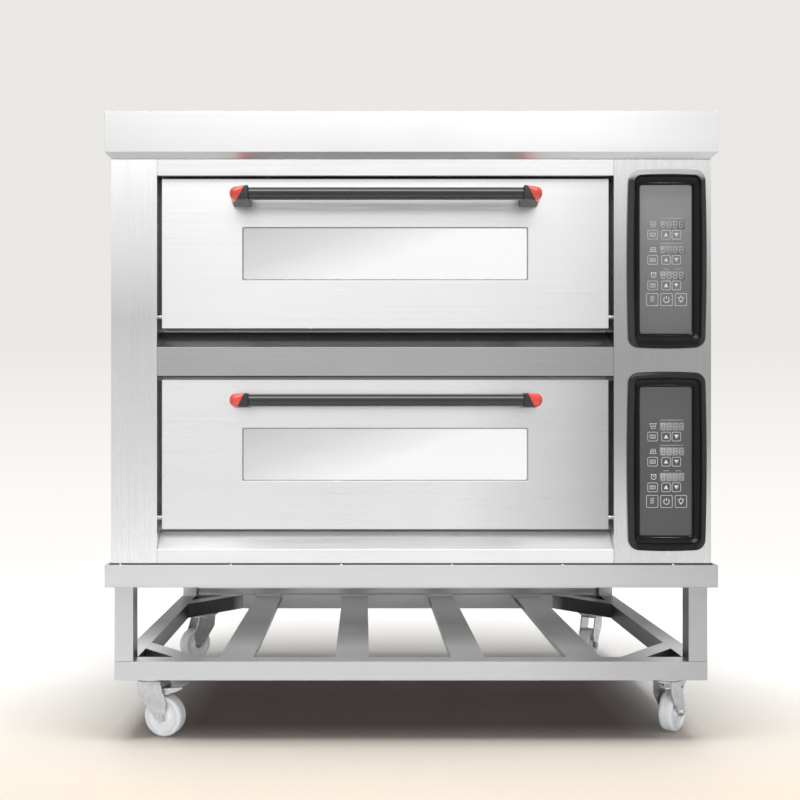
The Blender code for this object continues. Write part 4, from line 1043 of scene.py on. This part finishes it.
# ---- the controls ------------------------------------------------------------------------------
class Plates:
    """Flat shapes on the keypad, gathered into one mesh; their places are metres right of and below its corner."""

    def __init__(self, left: float, top: float, front: float) -> None:
        """Starts with no shapes, with the keypad's upper left corner and the plane that they lie in."""
        self.origin = np.array((left, top))
        self.front = front
        self.shapes: list[Shape] = []

    def _take(self, flat: np.ndarray, faces: list) -> None:
        """Adds a shape."""
        self.shapes.append((upright(self.origin + flat * (1, -1), self.front), faces))

    @staticmethod
    def _span(low: Flat, high: Flat) -> tuple[np.ndarray, np.ndarray]:
        """Half the size and the middle of a rectangle."""
        return (np.array(high) - low) / 2, (np.array(high) + low) / 2

    def bar(self, start: Flat, end: Flat, width: float) -> None:
        """A straight stroke: a rectangle round the line from start to end."""
        ends = np.array((start, end), float)
        run = ends[1] - ends[0]
        aside = np.array((-run[1], run[0])) / np.hypot(*run) * width / 2
        self._take(np.array((ends[0] - aside, ends[1] - aside, ends[1] + aside, ends[0] + aside)), [[0, 1, 2, 3]])

    def plate(self, low: Flat, high: Flat, corner: float) -> None:
        """A filled rounded rectangle."""
        half, centre = self._span(low, high)
        loop = rounded_outline(half, corner, 0, 5, 0) + centre
        self._take(loop, [list(range(len(loop)))])

    def band(self, low: Flat, high: Flat, corner: float, width: float) -> None:
        """The outline of a rounded rectangle: two loops, one inside the other."""
        half, centre = self._span(low, high)
        outer = rounded_outline(half, corner, 0, 5, 0)
        inner = rounded_outline(half - width, corner - width * 0.7, 0, 5, 0)
        self._take(np.concatenate((outer, inner)) + centre, grid_faces(2, len(outer), False, True).tolist())

    def ring(self, centre: Flat, radius: float, width: float, start: float = 0, end: float = 360) -> None:
        """An arc of a ring, between two angles in degrees, clockwise from the right."""
        turn = np.radians(np.linspace(start, end, 21))
        circle = np.column_stack((np.cos(turn), np.sin(turn)))
        both = np.concatenate((circle * (radius - width / 2), circle * (radius + width / 2)))
        self._take(both + centre, grid_faces(2, len(circle), False, False).tolist())

    def triangle(self, centre: Flat, size: float, up: bool) -> None:
        """A filled triangle that points up or down."""
        way = -1 if up else 1
        self._take(np.array(((-1, -0.8 * way), (1, -0.8 * way), (0, 0.9 * way))) * size / 2 + centre, [[0, 1, 2]])

    def digit(self, centre: Flat, height: float) -> None:
        """A figure of seven strokes: the outer six clockwise from the top, then the middle one."""
        w, h = height * 0.29, height / 2
        strokes = (
            ((-w, -h), (w, -h)),
            ((w, -h), (w, 0)),
            ((w, 0), (w, h)),
            ((-w, h), (w, h)),
            ((-w, 0), (-w, h)),
            ((-w, -h), (-w, 0)),
            ((-w, 0), (w, 0)),
        )
        for stroke in strokes:
            start, end = np.array(stroke) * 0.9 + centre
            self.bar(start, end, height * 0.15)

    def build(self, name: str, thickness: float, finish: bpy.types.Material) -> bpy.types.Object:
        """All shapes as one piece with a thickness towards the front."""
        points, faces = gathered(self.shapes)
        mesh = bpy.data.meshes.new(name)
        mesh.from_pydata(points, [], faces)
        bm = bmesh.new()
        bm.from_mesh(mesh)
        bmesh.ops.reverse_faces(bm, faces=[face for face in bm.faces if face.normal.y > 0])
        bm.to_mesh(mesh)
        bm.free()
        piece = dressed(name, mesh, finish)
        solid = piece.modifiers.new("thickness", "SOLIDIFY")
        solid.thickness = thickness
        solid.offset = 1.0
        return piece


@dataclass
class Controls:
    """One deck's moulded bezel and its keypad with printed keys and displays."""

    deck: str
    bow: float = 0.0032
    outer_corner: float = 0.019
    inner_corner: float = 0.007
    film_corner: float = 0.0055
    film_edge: float = 0.0008
    print_thickness: float = 0.00012
    line: float = 0.0010  # width of the printed outlines
    rule: float = 0.0008  # width of the dashes over the displays
    thin: float = 0.0009  # widths of the signs' strokes
    stroke: float = 0.0013
    key_corner: float = 0.0035
    key_height: float = 0.019
    arrow_width: float = 0.0185
    arrow_lefts: Flat = (0.0445, 0.0655)
    rows: tuple[Flat, ...] = ((0.0715, 0.0915), (0.1225, 0.1425), (0.1745, 0.1945))  # tops of display and keys
    display_span: Flat = (0.0410, 0.0915)
    display_height: float = 0.0178
    first_digit: float = 0.0478
    digit_pitch: float = 0.0123
    digit_height: float = 0.0135
    low_keys: Point = (0.0256, 0.0546, 0.0840)  # middles of the three keys at the foot
    low_key_half: float = 0.0122
    low_key_span: Flat = (0.2200, 0.2455)

    def build(self, palette: Palette) -> None:
        """Builds the bezel, the film and the prints."""
        self._bezel(palette)
        self._film(palette)
        self._prints(palette)

    def _bezel(self, palette: Palette) -> None:
        """The moulding: its section runs round the outline, as loops from the rim to the keypad.

        Each loop lies a share of the way from the rim's outline, with bowed sides, to the keypad's;
        the front height of each loop comes from the section below. The last loops close the tray's
        floor and back.
        """
        rim, centre = front_of(f"{self.deck}_control_bezel")
        pad = front_of(f"{self.deck}_keypad")[0]
        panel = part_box("control_column")[0].y
        low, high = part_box(f"{self.deck}_control_bezel")
        proud, back = panel - low.y, high.y - panel
        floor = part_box(f"{self.deck}_keypad")[1].y + GAP - panel
        section = [  # (share of the way in, height in front of the panel)
            (0.0, GAP),
            (0.0, proud * 0.34),
            (0.008, proud * 0.50),
            (0.04, proud * 0.64),
            (0.12, proud * 0.76),
            (0.22, proud * 0.86),
            (0.32, proud * 0.94),
            (0.39, proud * 0.99),
            (0.43, proud),
            (0.46, proud * 0.96),
            (0.49, proud * 0.80),
            (0.52, proud * 0.48),
            (0.90, -proud * 0.42),
            (0.96, -proud * 0.49),
            (0.985, -proud * 0.56),
            (0.985, -floor),
            (1.5, -floor),
            (1.5, -back),
            (0.885, -back),
            (0.885, GAP),
        ]
        loops = []
        for share, out in section:
            inward = min(share, 1.0)
            corner = self.outer_corner * (1 - inward) + self.inner_corner * inward
            flat = rounded_outline(rim + (pad - rim) * share, corner, self.bow * (1 - inward), 10, 22)
            loops.append(upright(flat + centre, panel - out))
        piece = new_piece(f"{self.deck}_bezel_moulding", lofted(loops), palette.bezels[self.deck])
        settle(piece, "root", "black_gloss", f"{self.deck}_control_bezel")

    def _film(self, palette: Palette) -> None:
        """The keypad: a plate with rounded corners whose front edge is turned over a little."""
        low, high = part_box(f"{self.deck}_keypad")
        half, centre = front_of(f"{self.deck}_keypad")
        edge = self.film_edge
        loops = []
        for inset, setback in ((0.0, high.y - low.y), (0.0, edge), (edge * 0.4, 0.0001), (edge * 1.5, 0.0)):
            flat = rounded_outline(half - inset, self.film_corner - inset, 0, 8, 6)
            loops.append(upright(flat + centre, low.y + setback))
        piece = new_piece(f"{self.deck}_keypad_film", lofted(loops, True), palette.films[self.deck])
        settle(piece, "root", "keypad_film", f"{self.deck}_keypad")

    def _prints(self, palette: Palette) -> None:
        """Key outlines, displays and signs, laid out from the film's upper left corner."""
        low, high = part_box(f"{self.deck}_keypad")
        lines, figures, windows, signs = (Plates(low.x, high.z, low.y) for _ in range(4))
        for top, key_top in self.rows:
            self._display(windows, figures, top)
            self._key_row(lines, signs, key_top)
        for top in (0.0675, 0.1185):
            lines.bar((0.042, top), (0.089, top), self.rule)
        for middle in (0.054, 0.079):
            lines.bar((middle - 0.006, 0.1705), (middle + 0.006, 0.1705), self.rule)
        self._heat_sign(signs, (0.0275, 0.0795), 1)
        self._heat_sign(signs, (0.0275, 0.1305), -1)
        self._clock_sign(signs, (0.0285, 0.1830))
        self._low_keys(lines, signs)
        layers = (
            ("windows", windows, palette.window, 1),
            ("lines", lines, palette.print, 2),
            ("figures", figures, palette.figure, 2),
            ("signs", signs, palette.bright, 2),
        )
        for label, plates, finish, coats in layers:
            piece = plates.build(f"{self.deck}_keypad_{label}", self.print_thickness * coats, finish)
            settle(piece, "root", "keypad_film")

    def _display(self, windows: Plates, figures: Plates, top: float) -> None:
        """A display window with four figures."""
        left, right = self.display_span
        windows.plate((left, top), (right, top + self.display_height), 0.0008)
        for place in range(4):
            across = self.first_digit + place * self.digit_pitch
            figures.digit((across, top + self.display_height / 2), self.digit_height)

    def _key_row(self, lines: Plates, signs: Plates, top: float) -> None:
        """A set key with a small box on it, and an up and a down key."""
        lines.band((0.016, top), (0.037, top + self.key_height), self.key_corner, self.line)
        lines.band((0.0205, top + 0.0055), (0.0325, top + 0.0135), 0.0012, self.line)
        for y in (top + 0.0082, top + 0.0108):
            lines.bar((0.0225, y), (0.0305, y), self.line)
        for left, up in zip(self.arrow_lefts, (True, False)):
            lines.band((left, top), (left + self.arrow_width, top + self.key_height), self.key_corner, self.line)
            signs.triangle((left + self.arrow_width / 2, top + self.key_height / 2), 0.0092, up)

    def _heat_sign(self, signs: Plates, centre: Flat, way: int) -> None:
        """A chamber with heat from above or, with way -1, from below: a box, a bar and three short rays."""
        x, y = centre
        signs.bar((x - 0.0075, y - 0.0045 * way), (x + 0.0075, y - 0.0045 * way), self.stroke)
        for shift in (-0.0050, 0.0, 0.0050):
            signs.bar((x + shift, y - 0.0025 * way), (x + shift, y + 0.0010 * way), 0.0011)
        signs.band((x - 0.0045, y + 0.0025 * way - 0.0016), (x + 0.0045, y + 0.0025 * way + 0.0032), self.thin, 0.0008)

    def _clock_sign(self, signs: Plates, centre: Flat) -> None:
        """A clock: a ring, two hands and two small bells."""
        x, y = centre
        signs.ring(centre, 0.0050, 0.0011)
        signs.bar((x, y), (x, y - 0.0032), self.thin)
        signs.bar((x, y), (x + 0.0024, y), self.thin)
        for side in (-1, 1):
            signs.bar((x + side * 0.0032, y - 0.0060), (x + side * 0.0058, y - 0.0040), 0.0014)

    def _low_keys(self, lines: Plates, signs: Plates) -> None:
        """Three square keys: steam, power and lamp."""
        high, low = self.low_key_span
        for middle in self.low_keys:
            lines.band((middle - self.low_key_half, high), (middle + self.low_key_half, low), 0.0022, self.line)
        steam, power, lamp = self.low_keys
        for y in 0.2270 + 0.0042 * np.arange(3):
            for half in (-1, 1):
                signs.bar((steam + half * 0.0040, y), (steam, y - half * 0.0012), self.stroke)
        signs.ring((power, 0.2330), 0.0056, self.stroke, -60, 240)
        signs.bar((power, 0.2258), (power, 0.2320), self.stroke)
        signs.ring((lamp, 0.2317), 0.0042, self.stroke)
        signs.bar((lamp - 0.0020, 0.2376), (lamp + 0.0020, 0.2376), 0.0015)
        for angle in np.radians((-150, -90, -30)):
            ray = np.array((math.cos(angle), math.sin(angle)))
            signs.bar((lamp, 0.2317) + 0.0057 * ray, (lamp, 0.2317) + 0.0080 * ray, self.thin)


# ---- the stand ---------------------------------------------------------------------------------
@dataclass
class Stand:
    """The ring, legs and shelf of square tube, the studs under the body, and a dark bead of painted shadow round its
    foot.
    """

    tube_ease: float = 0.0012
    stud: Head = Head(0.0026, 0.0022, 10)
    stud_pitch: float = 0.2235
    stud_inset: float = 0.02  # from the body's left edge to the first stud
    stud_setback: float = 0.0052  # from the ring's front face
    shadow_bead: float = 0.0026
    shadow_bead_corner: float = 0.0012

    def build(self, palette: Palette) -> None:
        """Dresses the frames and adds the bright studs in the joint above the ring."""
        refined("stand_frame", palette.ring, self.tube_ease)
        refined("shelf_frame", palette.shelf, self.tube_ease)
        low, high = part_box("stand_frame")
        first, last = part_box("left_post")[0].x + self.stud_inset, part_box("control_column")[1].x
        places = [(x, low.y + self.stud_setback, high.z) for x in np.arange(first, last, self.stud_pitch)]
        self.stud.row("ring_studs", places, (0, 0, 1), palette.bolt, "root")
        self._shadow_bead(palette)

    def _shadow_bead(self, palette: Palette) -> None:
        """A dark bead round the foot of the body, a painted shadow in the joint: a quarter circle carried round its
        outline.
        """
        low = np.array(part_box("left_post")[0].xy)
        high = np.array((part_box("control_column")[1].x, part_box("back_panel")[1].y))
        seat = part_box("stand_frame")[1].z + GAP
        turn = np.linspace(0, math.pi / 2, 6)
        section = [(0.0, 0.0), *zip(self.shadow_bead * np.cos(turn), self.shadow_bead * np.sin(turn))]
        loops = []
        for away, rise in section:
            flat = rounded_outline((high - low) / 2 + GAP + away, self.shadow_bead_corner, 0, 3, 0) + (low + high) / 2
            loops.append(np.column_stack((flat, np.full(len(flat), seat + rise))))
        settle(new_piece("foot_painted_shadow", lofted(loops), palette.shadow_bead), "root", "black_plastic")


@dataclass
class Caster:
    """A swivel caster: plate, fork, nylon wheel, axle nuts and, in front, a brake pedal."""

    corner: str
    braked: bool
    wheel_steps: int = 96
    tread_inset: float = 0.002  # of the tread's sides from the hub's
    axle: float = 0.0052  # radius of the nuts' and washers' holes
    washer_radius: float = 0.0088
    washer_height: float = 0.0010
    washer_steps: int = 28
    nut_radius: float = 0.0075  # over its corners
    nut_height: float = 0.0050  # over the washer's seat
    nut_seat: float = 0.0037  # from the hub to the fork's outer face
    metal_ease: float = 0.0004

    def build(self, palette: Palette) -> None:
        """Builds and dresses the caster's pieces."""
        refined(f"caster_plate_{self.corner}", palette.zinc, self.metal_ease)
        refined(f"caster_fork_{self.corner}", palette.zinc, self.metal_ease)
        if self.braked:
            refined(f"brake_pedal_{self.corner}", palette.zinc, self.metal_ease)
        joint = next(joint for joint in frame["joints"] if joint["name"] == f"{self.corner}_wheel_spin")
        self._wheel(palette, np.array(joint["pos_m"], float), np.array(joint["axis"], float))

    def _wheel(self, palette: Palette, centre: np.ndarray, axis: np.ndarray) -> None:
        """The wheel: a section with hub, dished web, groove and rounded tread, turned on its axle."""
        node = f"caster_wheel_{self.corner}"
        away = node_points(node) - centre
        height = away @ axis
        span = np.linalg.norm(away - height[:, None] * axis, axis=1)
        hub, radius, bore = height.max(), span.max(), span.min()
        tread = hub - self.tread_inset
        half = [  # (distance from the axle, height from the middle plane)
            (bore, hub - 0.0006),
            (bore + 0.0006, hub),
            (0.0118, hub),
            (0.0130, hub - 0.0012),
            (0.0142, tread - 0.0058),
            (0.0160, tread - 0.0064),
            (0.0250, tread - 0.0056),
            (radius - 0.0120, tread - 0.0050),
            (radius - 0.0100, tread - 0.0040),
            (radius - 0.0088, tread - 0.0006),
            (radius - 0.0080, tread),
            (radius - 0.0062, tread),
            (radius - 0.0058, tread - 0.0007),
            (radius - 0.0052, tread - 0.0007),
            (radius - 0.0048, tread - 0.0002),
            (radius - 0.0022, tread - 0.0014),
            (radius - 0.0006, tread - 0.0036),
            (radius, tread - 0.0066),
            (radius, tread - 0.0086),
            (radius - 0.0008, tread - 0.0090),
            (radius - 0.0008, tread - 0.0096),
            (radius, tread - 0.0100),
        ]
        section = half + [(out, -rise) for out, rise in reversed(half)]
        shape = turned(section, centre, axis, self.wheel_steps)
        settle(new_piece(f"{node}_turned", shape, palette.nylon), f"{self.corner}_wheel", "nylon", node)
        self._nuts(palette, centre, axis, hub + self.nut_seat)

    def _nuts(self, palette: Palette, centre: np.ndarray, axis: np.ndarray, face: float) -> None:
        """A washer and a hexagonal nut on each end of the axle, from the fork's face outwards."""
        rim, washer_top = self.washer_radius, face + self.washer_height
        nut_low, nut_top = face + 0.0011, face + self.nut_height
        washer = [(self.axle, face), (rim, face), (rim, washer_top), (self.axle, washer_top)]
        nut = [
            (self.axle, nut_low),
            (self.nut_radius, nut_low),
            (self.nut_radius, nut_top - 0.0008),
            (self.nut_radius * 0.88, nut_top),
            (self.axle, nut_top),
        ]
        shapes = [
            turned(profile, centre, axis * way, steps)
            for way in (1, -1)
            for profile, steps in ((washer, self.washer_steps), (nut, 6))
        ]
        piece = new_piece(f"{self.corner}_axle_nuts", gathered(shapes), palette.bolt)
        settle(piece, f"{self.corner}_swivel", "zinc")


# ---- the studio --------------------------------------------------------------------------------
@dataclass(frozen=True)
class Lamp:
    """A rectangular lamp that faces its target, for the diffuse or the glossy part of the light."""

    name: str
    place: Point
    target: Point
    size: Flat
    power: float
    glossy: bool = False

    def make(self) -> None:
        """Puts the lamp into the scene."""
        data = bpy.data.lights.new(self.name, "AREA")
        data.shape = "RECTANGLE"
        data.size, data.size_y = self.size
        data.energy = self.power
        lamp = bpy.data.objects.new(self.name, data)
        lamp.location = self.place
        lamp.visible_glossy = self.glossy
        lamp.visible_diffuse = not self.glossy
        lamp.rotation_euler = (Vector(self.target) - Vector(self.place)).to_track_quat("-Z", "Y").to_euler()
        bpy.context.scene.collection.objects.link(lamp)


@dataclass
class Studio:
    """The camera, the lamps, the sky and the swept floor."""

    distance: float = 1.925  # of the camera from the body's front
    aside: float = -0.097
    eye_height: float = 0.658
    lens: float = 42.75
    shift: Flat = (0.046, 0.025)
    floor_front: float = -7.0
    wall: float = 4.6
    sweep_radius: float = 2.2
    wall_height: float = 6.0
    half_width: float = 9.0
    lamps: tuple[Lamp, ...] = (
        Lamp("overhead_softbox", (0.0, -0.5, 3.4), (0.0, -0.5, 0.0), (2.6, 1.8), 138),
        Lamp("front_softbox", (-0.6, -4.2, 1.0), (0.0, 0.0, 0.7), (3.0, 1.4), 13),
        Lamp("highlight_softbox", (-0.2, -2.6, 3.4), (0.0, -0.4, 0.8), (3.4, 1.8), 105, glossy=True),
        Lamp("rear_softbox", (0.0, 3.0, 2.8), (0.0, 1.1, 0.0), (3.2, 1.2), 36),
        Lamp("low_softbox", (0.0, -1.7, 0.12), (0.0, 0.0, 0.10), (3.0, 0.2), 14),
    )

    def build(self) -> None:
        """Makes all of it."""
        bpy.context.scene.view_settings.view_transform = "Standard"
        self._camera()
        self._floor()
        self._sky()
        for lamp in self.lamps:
            lamp.make()

    def _camera(self) -> None:
        """A level camera in front of the oven, a little to the left."""
        data = bpy.data.cameras.new("camera")
        data.lens = self.lens
        data.sensor_width = 36
        data.shift_x, data.shift_y = self.shift
        camera = bpy.data.objects.new("camera", data)
        camera.location = (self.aside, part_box("left_post")[0].y - self.distance, self.eye_height)
        camera.rotation_euler = (math.radians(90), 0, 0)
        bpy.context.scene.collection.objects.link(camera)
        bpy.context.scene.camera = camera

    def _floor(self) -> None:
        """A floor that sweeps up into a wall: a line, a quarter circle and a line, carried along X."""
        turn, radius = np.linspace(0, math.pi / 2, 24), self.sweep_radius
        y = np.concatenate(([self.floor_front], self.wall - radius + radius * np.sin(turn), [self.wall]))
        z = np.concatenate(([0.0], radius - radius * np.cos(turn), [self.wall_height]))
        sides = (-self.half_width, self.half_width)
        points = np.concatenate([np.column_stack((np.full(len(y), side), y, z)) for side in sides])
        mesh = bpy.data.meshes.new("studio_sweep")
        mesh.from_pydata(points, [], grid_faces(2, len(y), False, False)[:, ::-1].tolist())
        dressed("studio_sweep", mesh, self._paper())

    @staticmethod
    def _paper() -> bpy.types.Material:
        """Cream paper, deeper near the front, with a painted shadow under the oven, that turns pale grey up the wall.

        Seen or mirrored, it glows in front of and behind the oven, so that it stays pale there. To
        scattered light it is a darker grey, so that it doesn't light the oven from below.
        """
        made = bpy.data.materials.new("studio_paper")
        made.use_nodes = True
        graph = Graph(made.node_tree)
        cream = graph.mixed(graph.between(graph.axis(Y), -1.0, 0.2), (0.55, 0.45, 0.33), (1.0, 0.985, 0.96))
        colour = graph.mixed(graph.between(graph.axis(Z), 0.0, 1.2), cream, (0.82, 0.81, 0.79))
        aside, away = abs(graph.axis(X)), abs(graph.axis(Y))
        # painted shadow: the paper darkens to a brown grey under the oven
        below = graph.between(aside, 0.63, 0.45) * graph.between(away, 0.41, 0.25)
        colour = graph.multiplied(colour, graph.mixed(below, grey(1.0), (0.38, 0.32, 0.32)))
        rays = graph.add("ShaderNodeLightPath").outputs
        colour = graph.mixed(rays["Is Camera Ray"], grey(0.36), colour)
        colour = graph.mixed(rays["Is Glossy Ray"], colour, grey(0.84))
        diffuse = graph.add("ShaderNodeBsdfDiffuse", None, {"Color": colour})
        glow = graph.add("ShaderNodeEmission", None, {"Color": colour, "Strength": 1.0})
        seen = graph.greater(rays["Is Camera Ray"], rays["Is Glossy Ray"]) * graph.between(away, 0.6, 2.4)
        mix = graph.add("ShaderNodeMixShader", None, {0: seen, 1: diffuse.outputs[0], 2: glow.outputs[0]})
        graph.add("ShaderNodeOutputMaterial", None, {"Surface": mix.outputs[0]})
        return made

    @staticmethod
    def _sky() -> None:
        """A pale studio: bands of brightness by height for what is mirrored, light from above for the rest."""
        world = bpy.data.worlds.new("studio_sky")
        world.use_nodes = True
        bpy.context.scene.world = world
        graph = Graph(world.node_tree)
        way = graph.add("ShaderNodeTexCoord").outputs["Generated"]
        height = graph.value("ShaderNodeSeparateXYZ", None, {0: way}, Z)
        bands = ((0.0, 0.70), (0.46, 0.98), (0.52, 0.92), (0.60, 1.0), (0.70, 1.0), (1.0, 0.95))
        mirrored = graph.ramp(graph.between(height, -1.0, 1.0), [(at, grey(level)) for at, level in bands])
        levels = ((0.0, 0.02), (0.55, 0.05), (0.85, 0.9), (1.0, 0.9))
        spread = graph.ramp(height, [(at, grey(level)) for at, level in levels])
        rays = graph.add("ShaderNodeLightPath").outputs
        colour = graph.mixed(graph.greater(rays["Is Glossy Ray"], rays["Is Transmission Ray"]), spread, mirrored)
        colour = graph.mixed(rays["Is Camera Ray"], colour, (0.82, 0.81, 0.79))
        back = graph.add("ShaderNodeBackground", None, {"Color": colour, "Strength": 1.0})
        graph.add("ShaderNodeOutputWorld", None, {"Surface": back.outputs[0]})


def main() -> None:
    """Builds every sub-assembly, then the studio."""
    logging.basicConfig(level=logging.INFO, format="%(message)s")
    palette = Palette()
    Shell().build(palette)
    for deck in DECKS:
        Chamber(deck).build(palette)
        Door(deck).build(palette)
        Controls(deck).build(palette)
    Stand().build(palette)
    for corner in CORNERS:
        Caster(corner, corner.startswith("front")).build(palette)
    Studio().build()


if __name__ == "__main__":
    main()
